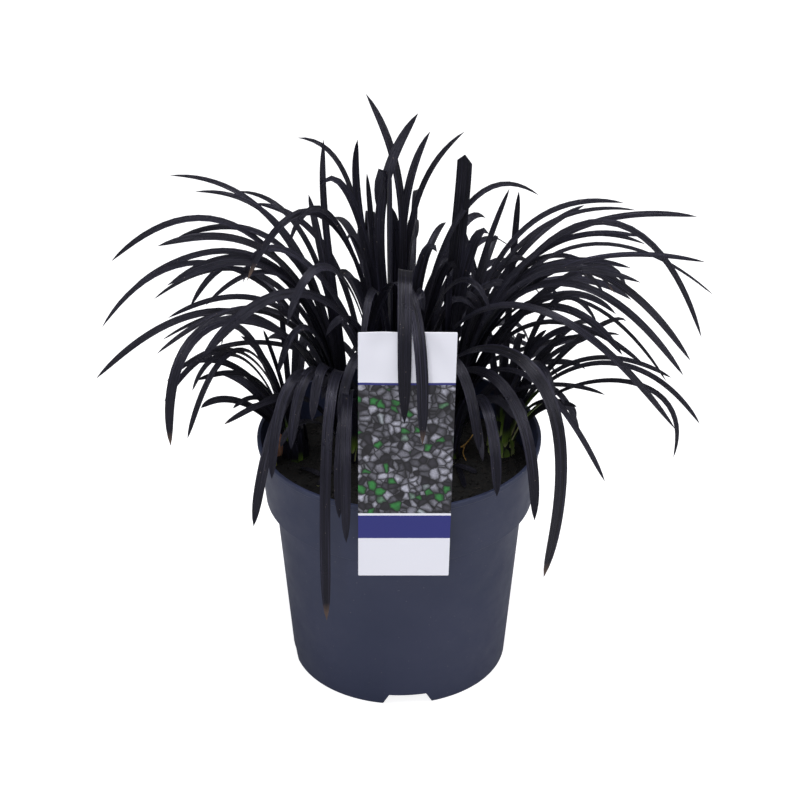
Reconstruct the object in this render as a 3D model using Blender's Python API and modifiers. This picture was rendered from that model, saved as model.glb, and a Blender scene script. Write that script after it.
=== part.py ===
"""A clump of black mondo grass in a nursery pot, with its soil and its plant label.

Metres, +Z up, the plant seen from the front along +Y. The origin is the middle of the pot's underside.
Sizes below are in millimetres and are turned into metres as each mesh is made.
"""
import math
import random

import bmesh
import bpy
from mathutils import Matrix, Vector, noise
from mathutils.bvhtree import BVHTree

MM = 0.001
PLANT = "black_mondo_grass"
GAP = 0.3
WELD = 0.01

# Pot
POT_HEIGHT = 152.0
RIM_RADIUS = 85.0
COLLAR_BOTTOM = 111.0
COLLAR_BOTTOM_RADIUS = 80.3
BODY_TOP_RADIUS = 74.8
BASE_RADIUS = 65.4
FOOT_ROUND = 1.6
WALL = 1.4
FLOOR = 1.8
LIP = 2.2
LIP_DROP = 3.0
POT_STEPS = 40
NOTCHES = 4
NOTCH_TURN = math.radians(4.5)
NOTCH_WIDTH = 31.0
NOTCH_TOP_WIDTH = 22.4
NOTCH_HEIGHT = 7.0
NOTCH_DEPTH = 26.0
DRAIN_RADIUS = 4.5
DRAIN_FROM_AXIS = 50.0

# Soil
SOIL_TOP = 126.0
SOIL_BOTTOM = 9.0
SOIL_MOUND = 4.0
SOIL_ROUGHNESS = 2.2
SOIL_GRAIN = 14.0
SOIL_RINGS = 6
SOIL_STEPS = 30

# Label, a card with a tongue that hooks over the rim
LABEL_CENTRE_X = 3.6
LABEL_WIDTH = 54.4
LABEL_FOOT_WIDTH = 52.0
LABEL_LEAN = 2.3
LABEL_BOTTOM = 111.0
LABEL_TOP = 270.0
LABEL_FRONT = -91.2
LABEL_BACK = -90.4
LABEL_CORNER = 0.6
TONGUE_WIDTH = 16.0
TONGUE_INSIDE = -79.9
TONGUE_THICK = 0.8
TONGUE_RISE = 1.2
TONGUE_END = 131.0

# Crowns, the packed leaf bases that the leaves stand out of: centre x and y, radii along x and y, top, sides
CROWN_BOTTOM = 114.0
CROWN_SHRINK = 0.62
HOLE_ALLOWANCE = 1.5
CROWNS = {
    "tuft_main": (0.0, 14.0, 40.0, 19.0, 166.0, 18),
    "tuft_back": (-3.0, 55.0, 27.0, 10.0, 158.0, 12),
    "tuft_left": (-63.0, 18.0, 8.5, 8.5, 148.0, 8),
    "tuft_right": (62.0, 20.0, 8.5, 8.5, 148.0, 8),
}
# Fans of leaves: the node each belongs to, its middle x and y, and how far its roots spread either way
FANS = {
    "mid_left": ("tuft_main", -26.0, 12.0, 8.0, 8.0),
    "centre": ("tuft_main", 0.0, 16.0, 10.0, 10.0),
    "mid_right": ("tuft_main", 26.0, 12.0, 8.0, 8.0),
    "top": ("tuft_main", -2.0, 20.0, 4.0, 4.0),
    "back": ("tuft_back", -3.0, 55.0, 17.0, 4.0),
    "left": ("tuft_left", -63.0, 18.0, 4.0, 4.0),
    "right": ("tuft_right", 62.0, 20.0, 4.0, 4.0),
}

# Leaves
ROOT_Z = 123.0
ROOT_STRAY = 0.8
LEAF_SEGMENTS = 6
FILLER_SEGMENTS = 5
LEAF_KEEL = 1.1
TIP_KEEL = 0.65
LEAN_AT_ROOT = 9.0
LEAN_SHARE = 0.12
RISE_AT_ROOT = 0.62
ARCH_AT = 0.6
CLOSER_TO_TIP = 0.7
CURVE_POINTS = 60
WIDEST_AT = 0.35
TAPER = 16.0
BLUNT_WIDTH = 9.0
BLUNT_TAPER = 150.0
BLUNT_END = 0.12
ROOT_NARROWING = 0.3
MOST_TWIST = math.radians(22)
FACING = Vector((0.0, -0.5, 0.85))
ROLL_SHARE = 0.7
MOST_ROLL = math.radians(65)
CLEARANCE = 0.35
TEST_POINTS = 40
SEED = 20
# How far a leaf may slide along the line of sight to pass another, and that line's fall for each mm back
SLIDES = (0, 4, -4, 8, -8, 12, -12, 17, -17, 23, -23, 30, -30)
SIGHT_FALL = 0.58

# Each leaf that shows: fan, tip x, y and z, height of its arch, how far out its bend is, width
LEAVES = (
    # Upper left
    ("mid_left", -134, 40, 303, 278, 0.33, 4.3),
    ("mid_left", -98, 60, 283, 265, 0.33, 4.0),
    ("mid_left", -118, 20, 302, 276, 0.33, 4.0),
    ("back", -87, 75, 268, 244, 0.33, 3.9),
    ("mid_left", -165, -10, 272, 287, 0.48, 4.0),
    ("mid_left", -128, 0, 282, 271, 0.33, 4.0),
    ("mid_left", -137, -20, 287, 269, 0.33, 6.4),
    ("mid_left", -170, -30, 240, 270, 0.62, 4.3),
    ("mid_left", -155, 10, 246, 262, 0.38, 4.0),
    ("mid_left", -137, 30, 236, 252, 0.38, 4.0),
    ("mid_left", -148, 50, 216, 242, 0.43, 3.9),
    ("mid_left", -132, -30, 267, 260, 0.33, 4.0),
    ("mid_left", -111, -20, 249, 256, 0.43, 3.6),
    ("mid_left", -121, -10, 242, 264, 0.63, 3.9),
    ("centre", -85, -50, 280, 304, 0.53, 4.3),
    ("centre", -62, -40, 296, 301, 0.70, 4.0),
    # Top
    ("top", -19, 30, 359, 285, -1.30, 4.8),
    ("back", -60, 62, 317, 285, 0.12, 3.8),
    ("mid_left", -43, 20, 335, 262, 1.40, 5.2),
    ("centre", -24, 40, 326, 262, 1.40, 4.6),
    ("back", -19, 52, 299, 247, 0.60, 3.8),
    ("top", 11, 30, 347, 280, -2.20, 6.6),
    ("top", 18, 36, 333, 278, -0.40, 4.8),
    ("top", 38, 40, 331, 280, -0.15, 3.4),
    ("mid_right", 38, 30, 321, 262, 0.90, 10.4),
    ("mid_right", 52, 10, 280, 262, 0.60, 7.6),
    ("centre", 22, 10, 268, 256, 0.60, 7.0),
    ("mid_right", 30, -10, 262, 250, 0.70, 7.0),
    ("centre", 14, -30, 250, 248, 0.80, 7.0),
    ("centre", 9, -20, 304, 252, 0.60, 9.2),
    ("top", -13, 10, 297, 306, 0.30, 7.4),
    ("centre", -4, 24, 290, 252, 0.50, 7.6),
    ("centre", 82, 40, 290, 286, 0.43, 3.8),
    ("mid_right", 65, 50, 290, 236, 0.40, 3.8),
    ("right", 70, 40, 293, 235, 0.60, 4.0),
    ("right", 36, 60, 264, 221, 0.60, 4.4),
    ("mid_left", -53, 40, 291, 242, 0.60, 4.6),
    ("centre", -46, 20, 305, 291, 0.60, 4.6),
    ("centre", -5, -5, 332, 262, 2.40, 6.7),
    # Upper right
    ("mid_right", 111, 60, 275, 243, 0.33, 4.0),
    ("mid_right", 131, 30, 290, 272, 0.33, 4.0),
    ("mid_right", 140, 45, 278, 265, 0.33, 4.0),
    ("mid_right", 173, 20, 286, 268, 0.33, 4.0),
    ("mid_right", 176, -10, 222, 292, 0.68, 4.3),
    ("mid_right", 147, 50, 253, 256, 0.43, 3.6),
    ("mid_right", 140, 0, 283, 264, 0.33, 3.6),
    ("mid_right", 184, 10, 240, 268, 0.43, 4.0),
    ("mid_right", 173, -30, 282, 260, 0.33, 4.0),
    ("mid_right", 119, 50, 239, 236, 0.33, 4.0),
    ("mid_right", 133, -10, 268, 252, 0.33, 4.0),
    ("mid_right", 137, -30, 269, 255, 0.33, 4.0),
    ("mid_right", 129, 40, 225, 252, 0.58, 3.6),
    ("right", 118, 30, 211, 226, 0.53, 3.6),
    ("mid_right", 168, -30, 218, 266, 0.48, 6.5),
    ("mid_right", 163, -42, 215, 260, 0.48, 6.5),
    ("mid_right", 155, -30, 204, 248, 0.53, 3.6),
    # Lower right
    ("centre", 158, -60, 190, 248, 0.43, 6.5),
    ("right", 108, 0, 224, 204, 0.33, 4.0),
    ("right", 161, 0, 190, 196, 0.48, 4.0),
    ("right", 177, -20, 170, 201, 0.63, 4.0),
    ("right", 160, -40, 159, 201, 1.15, 4.0),
    ("right", 105, -10, 176, 168, 0.33, 3.9),
    ("mid_right", 119, -60, 155, 206, 0.48, 4.3),
    ("centre", 84, -80, 102, 236, 1.45, 8.0),
    ("centre", 78, -75, 138, 216, 1.00, 6.9),
    ("mid_right", 56, -76, 155, 202, 0.95, 6.6),
    ("centre", 46, -62, 176, 222, 0.80, 6.2),
    ("mid_right", 143, -20, 209, 227, 0.43, 3.6),
    ("right", 103, 10, 213, 190, 0.33, 3.6),
    ("right", 112, 25, 202, 186, 0.43, 3.6),
    ("right", 88, 25, 209, 187, 0.33, 4.0),
    ("centre", 52, -40, 255, 259, 0.70, 3.6),
    # Lower left
    ("mid_left", -174, -40, 212, 241, 0.48, 6.5),
    ("mid_left", -138, -45, 231, 241, 0.38, 4.3),
    ("mid_left", -138, -10, 221, 230, 0.38, 4.0),
    ("mid_left", -138, 30, 214, 227, 0.38, 4.0),
    ("mid_left", -132, -50, 173, 245, 1.05, 6.5),
    ("left", -124, -30, 166, 213, 0.58, 4.0),
    ("left", -136, -35, 194, 213, 0.53, 4.0),
    ("left", -119, -10, 194, 186, 0.33, 4.0),
    ("mid_left", -103, -22, 171, 178, 0.32, 5.6),
    ("left", -99, 0, 169, 170, 0.53, 3.6),
    ("centre", -112, -50, 231, 253, 0.48, 6.5),
    ("left", -70, 20, 227, 189, 0.60, 3.6),
    ("left", -80, 10, 217, 187, 0.60, 3.6),
    ("left", -60, 35, 237, 196, 0.60, 3.6),
    ("left", -95, 30, 202, 184, 0.43, 3.6),
    # Front, over the rim and over the label
    ("mid_left", -84, -75, 134, 207, 0.68, 6.4),
    ("mid_left", -73, -70, 163, 216, 0.90, 5.9),
    ("mid_left", -42, -95, 82, 220, 1.15, 6.1),
    ("mid_left", -30, -100, 139, 214, 1.10, 5.9),
    ("mid_left", -34, -93, 151, 207, 1.05, 5.9),
    ("mid_left", -62, -62, 178, 214, 0.80, 6.2),
    ("mid_left", -50, -50, 190, 212, 0.70, 6.0),
    ("centre", -34, -66, 196, 226, 0.80, 6.0),
    ("centre", 3, -99, 217, 295, 1.05, 8.0),
    ("mid_left", 13, -100, 204, 288, 1.08, 7.0),
)

# Leaves that fill the clump, drawn at random: fan, how many, heading and its spread in degrees,
# least and most reach, least and most rise
FILLERS = (
    ("centre", 20, -90, 180, 20, 90, 80, 160),
    ("mid_left", 8, 180, 75, 35, 115, 50, 130),
    ("mid_right", 12, 0, 75, 35, 115, 50, 150),
    ("back", 28, 90, 105, 30, 140, 40, 125),
    ("left", 7, 170, 100, 20, 70, 35, 85),
    ("right", 9, -10, 100, 20, 75, 35, 110),
)
FILLER_WIDTH = (4.2, 5.8)
FILLER_TRIES = 6


def material(name, colour, roughness):
    """A plain finish."""
    made = bpy.data.materials.new(name)
    made.use_nodes = True
    shader = made.node_tree.nodes["Principled BSDF"]
    shader.inputs["Base Color"].default_value = (*colour, 1.0)
    shader.inputs["Roughness"].default_value = roughness
    shader.inputs["Metallic"].default_value = 0.0
    return made


def mesh_object(name, points, faces, collection):
    """An object from points in millimetres."""
    mesh = bpy.data.meshes.new(name)
    mesh.from_pydata([Vector(p) * MM for p in points], [], faces)
    made = bpy.data.objects.new(name, mesh)
    collection.objects.link(made)
    return made


def apply_modifiers(thing):
    """Replaces an object's mesh by what its modifiers make of it."""
    graph = bpy.context.evaluated_depsgraph_get()
    mesh = bpy.data.meshes.new_from_object(thing.evaluated_get(graph))
    thing.modifiers.clear()
    thing.data = mesh


def turned(name, profile, steps, collection):
    """A solid turned from a profile of (radius, height) that runs down its outer side."""
    points = [(r, 0.0, z) for r, z in profile]
    edges = [(i, i + 1) for i in range(len(points) - 1)]
    mesh = bpy.data.meshes.new(name)
    mesh.from_pydata([Vector(p) * MM for p in points], edges, [])
    made = bpy.data.objects.new(name, mesh)
    collection.objects.link(made)
    screw = made.modifiers.new("Turn", "SCREW")
    screw.steps = steps
    screw.render_steps = steps
    screw.use_merge_vertices = True
    screw.merge_threshold = 0.00001
    apply_modifiers(made)
    return made


def prism(name, outline, start, end, collection):
    """A solid with a flat outline of (x, z) at each end, carried along y from start to end."""
    count = len(outline)
    points = [(x, start, z) for x, z in outline] + [(x, end, z) for x, z in outline]
    sides = [(i, i + count, (i + 1) % count + count, (i + 1) % count) for i in range(count)]
    ends = [tuple(range(count)), tuple(range(2 * count - 1, count - 1, -1))]
    made = mesh_object(name, points, ends + sides, collection)
    tidy_normals(made)
    return made


def tidy_normals(thing):
    """Turns every face outwards."""
    work = bmesh.new()
    work.from_mesh(thing.data)
    bmesh.ops.recalc_face_normals(work, faces=work.faces)
    work.to_mesh(thing.data)
    work.free()


def boolean(thing, operation, other, solver="EXACT"):
    """Cuts or joins another object, or a collection of them, and applies it."""
    change = thing.modifiers.new(operation.title(), "BOOLEAN")
    change.operation = operation
    change.solver = solver
    if isinstance(other, bpy.types.Collection):
        change.operand_type = "COLLECTION"
        change.collection = other
    else:
        change.object = other
    apply_modifiers(thing)


def turn_about_axis(thing, angle):
    """Turns a mesh about the pot's axis."""
    thing.data.transform(Matrix.Rotation(angle, 4, "Z"))


def smooth(thing, angle=40):
    """Rounded faces look round, and edges sharper than the angle stay sharp."""
    thing.data.shade_smooth()
    thing.data.set_sharp_from_angle(angle=math.radians(angle))


def outer_radius(z):
    """The outer radius of the pot at a height."""
    if z > COLLAR_BOTTOM:
        share = (z - COLLAR_BOTTOM) / (POT_HEIGHT - COLLAR_BOTTOM)
        return COLLAR_BOTTOM_RADIUS + share * (RIM_RADIUS - COLLAR_BOTTOM_RADIUS)
    return BASE_RADIUS + z / COLLAR_BOTTOM * (BODY_TOP_RADIUS - BASE_RADIUS)


def pot_profile():
    """Up the inside, over the rim and down the outside to the foot."""
    step_z = COLLAR_BOTTOM - WALL
    inner_foot = outer_radius(FLOOR) - WALL
    return [
        (0.0, FLOOR),
        (inner_foot - FOOT_ROUND, FLOOR),
        (inner_foot, FLOOR + FOOT_ROUND),
        (BODY_TOP_RADIUS - WALL, step_z),
        (COLLAR_BOTTOM_RADIUS - WALL, COLLAR_BOTTOM + WALL),
        (RIM_RADIUS - WALL - 0.5, POT_HEIGHT - LIP_DROP),
        (RIM_RADIUS - LIP, POT_HEIGHT - 0.7),
        (RIM_RADIUS - LIP + 0.6, POT_HEIGHT),
        (RIM_RADIUS - 0.6, POT_HEIGHT),
        (RIM_RADIUS, POT_HEIGHT - 0.7),
        (RIM_RADIUS - 0.1, POT_HEIGHT - LIP_DROP),
        (outer_radius(POT_HEIGHT - LIP_DROP) - 0.6, POT_HEIGHT - LIP_DROP - 0.6),
        (COLLAR_BOTTOM_RADIUS, COLLAR_BOTTOM + 0.6),
        (COLLAR_BOTTOM_RADIUS - 0.6, COLLAR_BOTTOM),
        (BODY_TOP_RADIUS, COLLAR_BOTTOM - 0.8),
        (outer_radius(FOOT_ROUND), FOOT_ROUND),
        (outer_radius(0) - 1.0, 0.8),
        (outer_radius(0) - FOOT_ROUND, 0.0),
        (0.0, 0.0),
    ]


def notch_outline(grow):
    """A foot notch seen from outside, grown by the wall for the bump over it."""
    low = NOTCH_WIDTH / 2 + grow
    high = NOTCH_TOP_WIDTH / 2 + grow
    return [(-low, -1.0 if grow == 0 else FLOOR / 2), (low, -1.0 if grow == 0 else FLOOR / 2),
            (high, NOTCH_HEIGHT + grow), (-high, NOTCH_HEIGHT + grow)]


def make_pot(parts, cutters):
    """The pot, with a wide collar, foot notches that run in under the floor, and a drain hole over each."""
    pot = turned("pot", pot_profile(), POT_STEPS, parts)
    inside = -(outer_radius(0) - NOTCH_DEPTH)
    plug_radius = outer_radius(0) - WALL / 2 - 0.2
    plug = turned("plug", [(0.0, 12.0), (plug_radius, 12.0), (plug_radius, FLOOR / 3), (0.0, FLOOR / 3)],
                  POT_STEPS, cutters)
    for i in range(NOTCHES):
        turn = NOTCH_TURN + i * 2 * math.pi / NOTCHES
        bump = prism("bump", notch_outline(WALL), -RIM_RADIUS, inside + WALL, cutters)
        boolean(bump, "INTERSECT", plug)
        channel = prism("channel", notch_outline(0), -RIM_RADIUS, inside, cutters)
        drain = bpy.data.meshes.new("drain")
        work = bmesh.new()
        bmesh.ops.create_cone(work, cap_ends=True, segments=10, radius1=DRAIN_RADIUS * MM,
                              radius2=DRAIN_RADIUS * MM, depth=2 * NOTCH_HEIGHT * MM)
        bmesh.ops.translate(work, verts=work.verts, vec=(0, -DRAIN_FROM_AXIS * MM, NOTCH_HEIGHT * MM))
        work.to_mesh(drain)
        work.free()
        drain = bpy.data.objects.new("drain", drain)
        cutters.objects.link(drain)
        for cutter, operation in ((bump, "UNION"), (channel, "DIFFERENCE"), (drain, "DIFFERENCE")):
            turn_about_axis(cutter, turn)
            boolean(pot, operation, cutter)
    smooth(pot, 30)
    pot.data.materials.clear()
    pot.data.materials.append(material("anthracite plastic", (0.036, 0.042, 0.075), 0.5))
    return pot


def soil_height(x, y):
    """The soil's surface, higher among the crowns and lower by the wall."""
    edge = min(1.0, math.hypot(x, y) / outer_radius(SOIL_TOP))
    lumps = noise.noise(Vector((x, y, 3.0)) / SOIL_GRAIN)
    return SOIL_TOP + SOIL_MOUND * (1 - edge * edge) + SOIL_ROUGHNESS * lumps


def crown_solid(name, crown, grow, collection):
    """A crown, or the hole it stands in when grown by the gap."""
    x, y, rx, ry, top, sides = crown
    shrink = 1.0 if grow else CROWN_SHRINK
    around = grow * HOLE_ALLOWANCE
    points = []
    for z, size in ((CROWN_BOTTOM - grow, 1.0), (top, shrink)):
        for i in range(sides):
            a = 2 * math.pi * i / sides
            points.append((x + (rx * size + around) * math.cos(a), y + (ry * size + around) * math.sin(a), z))
    faces = [tuple(range(sides - 1, -1, -1)), tuple(range(sides, 2 * sides))]
    faces += [(i, (i + 1) % sides, (i + 1) % sides + sides, i + sides) for i in range(sides)]
    return mesh_object(name, points, faces, collection)


def make_soil(parts, cutters):
    """The soil fills the pot, with a plain hole for each crown."""
    inner_base = outer_radius(SOIL_BOTTOM) - WALL - GAP - 0.3
    inner_step = BODY_TOP_RADIUS - WALL - GAP - 0.3
    inner_top = outer_radius(SOIL_TOP) - WALL - GAP - 0.6
    rings = [(inner_top * i / SOIL_RINGS, SOIL_TOP) for i in range(SOIL_RINGS + 1)]
    side = [(COLLAR_BOTTOM_RADIUS - WALL - GAP - 0.6, COLLAR_BOTTOM + 2 * WALL),
            (inner_step, COLLAR_BOTTOM - WALL), (inner_base, SOIL_BOTTOM), (0.0, SOIL_BOTTOM)]
    soil = turned("soil", rings + side, SOIL_STEPS, parts)
    for vertex in soil.data.vertices:
        if vertex.co.z > (SOIL_TOP - 1) * MM:
            vertex.co.z = soil_height(vertex.co.x / MM, vertex.co.y / MM) * MM
    for crown in CROWNS.values():
        boolean(soil, "DIFFERENCE", crown_solid("crown hole", crown, GAP, cutters))
    smooth(soil, 60)
    soil.data.materials.clear()
    soil.data.materials.append(material("potting soil", (0.012, 0.009, 0.007), 0.95))
    return soil


def label_edge(side, z):
    """The x of the card's left or right edge, -1 or 1, at a height: it narrows and leans a little."""
    share = (z - LABEL_BOTTOM) / (LABEL_TOP - LABEL_BOTTOM)
    width = LABEL_FOOT_WIDTH + share * (LABEL_WIDTH - LABEL_FOOT_WIDTH)
    return LABEL_CENTRE_X + (share - 0.5) * LABEL_LEAN + side * width / 2


def make_label(parts, cutters):
    """A thin card in front of the pot, and the tongue behind it that hooks over the rim."""
    corner = LABEL_CORNER
    cut = corner * (1 - math.sqrt(0.5))
    low = ((corner, 0), (cut, cut), (0, corner))
    high = ((0, -corner), (cut, -cut), (corner, 0))
    side = [(inset, LABEL_BOTTOM + rise) for inset, rise in low]
    side += [(inset, LABEL_TOP + rise) for inset, rise in high]
    outline = [(label_edge(1, z) - inset, z) for inset, z in side]
    outline += [(label_edge(-1, z) + inset, z) for inset, z in reversed(side)]
    card = prism("label", outline, LABEL_FRONT, LABEL_BACK, parts)
    over = POT_HEIGHT + TONGUE_RISE
    front = (LABEL_FRONT + LABEL_BACK) / 2
    inside = TONGUE_INSIDE + TONGUE_THICK
    hook = [(front, over), (TONGUE_INSIDE, over), (TONGUE_INSIDE, TONGUE_END), (inside, TONGUE_END),
            (inside, over + TONGUE_THICK), (front, over + TONGUE_THICK)]
    tongue = prism("tongue", hook, -TONGUE_WIDTH / 2, TONGUE_WIDTH / 2, cutters)
    for vertex in tongue.data.vertices:
        y, x, z = vertex.co
        vertex.co = (x + LABEL_CENTRE_X * MM, y, z)
    tidy_normals(tongue)
    boolean(card, "UNION", tongue)
    card.data.materials.clear()
    card.data.materials.append(material("printed card", (0.8, 0.8, 0.85), 0.35))
    return card


def cubic(t):
    """The weights of a cubic curve's four control points."""
    u = 1 - t
    return u ** 3, 3 * u * u * t, 3 * u * t * t, t ** 3


def spaced(curve, count):
    """Points along a curve, a little closer together towards its end."""
    lengths = [0.0]
    for a, b in zip(curve, curve[1:]):
        lengths.append(lengths[-1] + (b - a).length)
    points = []
    k = 1
    for i in range(count + 1):
        wanted = lengths[-1] * (i / count) ** CLOSER_TO_TIP
        while k < len(curve) - 1 and lengths[k] < wanted:
            k += 1
        share = (wanted - lengths[k - 1]) / max(lengths[k] - lengths[k - 1], 1e-9)
        points.append(curve[k - 1].lerp(curve[k], min(share, 1.0)))
    return points


def spine(root, tip, arch, bend, count):
    """Points along a leaf that leaves its crown steeply, arches over and ends at its tip."""
    w0, w1, w2, w3 = cubic(ARCH_AT)
    high = arch - (w0 + w1 * (1 - RISE_AT_ROOT)) * root.z - w3 * tip.z
    high /= w1 * RISE_AT_ROOT + w2
    first = root.lerp(tip, min(LEAN_SHARE, LEAN_AT_ROOT / ((tip - root).length + 1)))
    first.z = root.z + RISE_AT_ROOT * (high - root.z)
    second = root.lerp(tip, bend)
    second.z = high
    curve = []
    for i in range(CURVE_POINTS + 1):
        w0, w1, w2, w3 = cubic(i / CURVE_POINTS)
        curve.append(w0 * root + w1 * first + w2 * second + w3 * tip)
    return spaced(curve, count)


def width_at(share, width):
    """A leaf's width at a share of its length, from its widest; the broadest straps end bluntly."""
    if share < WIDEST_AT:
        return width * (1.0 - ROOT_NARROWING * (1 - share / WIDEST_AT))
    taper = BLUNT_TAPER if width > BLUNT_WIDTH else TAPER
    return width * max(0.0, 1.0 - ((share - WIDEST_AT) / (1 - WIDEST_AT)) ** taper)


def roll_to_front(points, side):
    """How far a leaf rolls about its length to show its face to the front."""
    middle = len(points) // 2
    along = (points[middle + 1] - points[middle - 1]).normalized()
    up = side.cross(along).normalized()
    wanted = FACING - along * FACING.dot(along)
    angle = math.atan2(along.dot(up.cross(wanted)), up.dot(wanted))
    return max(-MOST_ROLL, min(MOST_ROLL, ROLL_SHARE * angle))


def blunted(points, width):
    """The same points, with the last but one close to the tip where the strap ends bluntly."""
    if width <= BLUNT_WIDTH:
        return points
    return points[:-2] + [points[-1].lerp(points[-2], BLUNT_END), points[-1]]


def blade(points, width, twist, grow=0.0):
    """Points and faces of a three-sided blade: two edges and a keel under them, drawn to a point."""
    flat = (points[-1] - points[0]).cross(Vector((0, 0, 1)))
    side = flat.normalized() if flat.length > 1e-6 else Vector((1, 0, 0))
    roll = roll_to_front(points, side)
    rings = []
    last = len(points) - 1
    points = blunted(points, width)
    for i in range(last):
        share = (i / last) ** CLOSER_TO_TIP
        along = (points[i + 1] - points[max(0, i - 1)]).normalized()
        across = (side - along * side.dot(along)).normalized()
        across = Matrix.Rotation(roll + twist * share, 3, along) @ across
        up = across.cross(along)
        half = width_at(share, width) / 2 + grow
        keel = LEAF_KEEL + share * (TIP_KEEL - LEAF_KEEL) + grow
        rings += [points[i] - across * half + up * grow, points[i] + across * half + up * grow]
        rings += [points[i] - up * keel]
    tip = len(rings)
    verts = rings + [points[-1]]
    faces = [(2, 1, 0)]
    for i in range(last - 1):
        for k in range(3):
            a = 3 * i + k
            b = 3 * i + (k + 1) % 3
            faces += [(a, b + 3, a + 3), (a, b, b + 3)]
    end = 3 * (last - 1)
    faces += [(end + k, end + (k + 1) % 3, tip) for k in range(3)]
    return verts, faces


def clear_of_things(points, width):
    """Whether a leaf stays off the pot, the soil and the label."""
    reach = width / 2 + 1.5
    for i, p in enumerate(points):
        out = math.hypot(p.x, p.y)
        if i > len(points) * 0.2 and p.z < SOIL_TOP + 8 and out < RIM_RADIUS:
            return False
        if p.z < 8:
            return False
        wall = outer_radius(p.z)
        if p.z < POT_HEIGHT + 3.5 and wall - LIP - 0.6 * reach < out < wall + reach:
            return False
        beside_label = abs(p.x - LABEL_CENTRE_X) < LABEL_WIDTH / 2 + reach
        if beside_label and p.z < LABEL_TOP + 2 and LABEL_FRONT - 2.2 < p.y < LABEL_BACK + 2.2:
            return False
        if beside_label and p.z < POT_HEIGHT + 8 and p.y < TONGUE_INSIDE + 6:
            return False
    return True


class Clump:
    """Keeps the leaves placed so far, and bends new ones clear of those of other tufts."""

    def __init__(self):
        self.leaves = []
        self.trees = {}
        self.shapes = {name: ([], []) for name in CROWNS}

    def crosses(self, node, verts, faces):
        tree = BVHTree.FromPolygons(verts, faces)
        return any(other != node and tree.overlap(self.trees[other]) for other in self.trees)

    def place(self, fan, root, tip, arch, bend, width, twist, segments):
        node = FANS[fan][0]
        for slide in SLIDES:
            moved = tip + Vector((0, slide, -SIGHT_FALL * slide))
            level = arch - SIGHT_FALL * slide * 0.5
            points = spine(root, moved, level, bend, segments)
            if not clear_of_things(spine(root, moved, level, bend, TEST_POINTS), width):
                continue
            if self.crosses(node, *blade(points, width, twist, CLEARANCE)):
                continue
            self.keep(node, points, width, twist)
            return True
        return False

    def keep(self, node, points, width, twist):
        self.leaves.append((node, points, width, twist))
        verts, faces = self.shapes[node]
        more, added = blade(points, width, twist)
        faces += [tuple(len(verts) + i for i in face) for face in added]
        verts += more
        self.trees[node] = BVHTree.FromPolygons(verts, faces)


def root_of(fan, heading, draw):
    """A place inside the crown for a leaf of this fan, on the side that it grows towards."""
    node, x, y, dx, dy = FANS[fan]
    angle = heading + draw.uniform(-ROOT_STRAY, ROOT_STRAY)
    size = math.sqrt(draw.random())
    return Vector((x + dx * size * math.cos(angle), y + dy * size * math.sin(angle), ROOT_Z))


def heading_to(fan, x, y):
    """The direction from the middle of a fan to a leaf's tip."""
    return math.atan2(y - FANS[fan][2], x - FANS[fan][1])


def grow_clump():
    """Every leaf of the plant, those that show first and then the ones that fill it."""
    draw = random.Random(SEED)
    clump = Clump()
    for fan, x, y, z, arch, bend, width in LEAVES:
        twist = draw.uniform(-MOST_TWIST, MOST_TWIST)
        root = root_of(fan, heading_to(fan, x, y), draw)
        clump.place(fan, root, Vector((x, y, z)), arch, bend, width, twist, LEAF_SEGMENTS)
    for fan, count, heading, spread, near, far, low, high in FILLERS:
        for _ in range(count):
            for _ in range(FILLER_TRIES):
                angle = math.radians(heading + draw.uniform(-spread, spread))
                root = root_of(fan, angle, draw)
                reach = draw.uniform(near, far)
                rise = draw.uniform(low, high)
                drop = draw.uniform(-0.1, 0.9) * reach * 0.6
                tip = root + Vector((reach * math.cos(angle), reach * math.sin(angle), rise - drop))
                arch = root.z + rise * draw.uniform(0.85, 1.0)
                width = draw.uniform(*FILLER_WIDTH)
                twist = draw.uniform(-MOST_TWIST, MOST_TWIST)
                if clump.place(fan, root, tip, arch, draw.uniform(0.55, 0.95), width, twist, FILLER_SEGMENTS):
                    break
    return clump.leaves


def keep_largest_body(thing):
    """Welds points that nearly meet, then drops the loose scraps and sealed hollows that joining leaves."""
    work = bmesh.new()
    work.from_mesh(thing.data)
    bmesh.ops.remove_doubles(work, verts=work.verts, dist=WELD * MM)
    unseen = set(work.faces)
    bodies = []
    while unseen:
        body = [unseen.pop()]
        for face in body:
            for edge in face.edges:
                if len(edge.link_faces) != 2:
                    continue
                for other in edge.link_faces:
                    if other in unseen:
                        unseen.discard(other)
                        body.append(other)
        bodies.append(body)
    bodies.sort(key=len)
    for body in bodies[:-1]:
        bmesh.ops.delete(work, geom=body, context="FACES")
    work.to_mesh(thing.data)
    work.free()


def make_tuft(name, leaves, finish, parts):
    """One crown with its leaves fused to it."""
    tuft = crown_solid(name, CROWNS[name], 0.0, parts)
    bunch = bpy.data.collections.new(name + " leaves")
    bpy.context.scene.collection.children.link(bunch)
    for node, points, width, twist in leaves:
        if node == name:
            mesh_object("leaf", *blade(points, width, twist), bunch)
    boolean(tuft, "UNION", bunch, "MANIFOLD")
    for leaf in list(bunch.objects):
        bpy.data.objects.remove(leaf)
    bpy.data.collections.remove(bunch)
    keep_largest_body(tuft)
    tuft.data.materials.clear()
    tuft.data.materials.append(finish)
    return tuft


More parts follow.
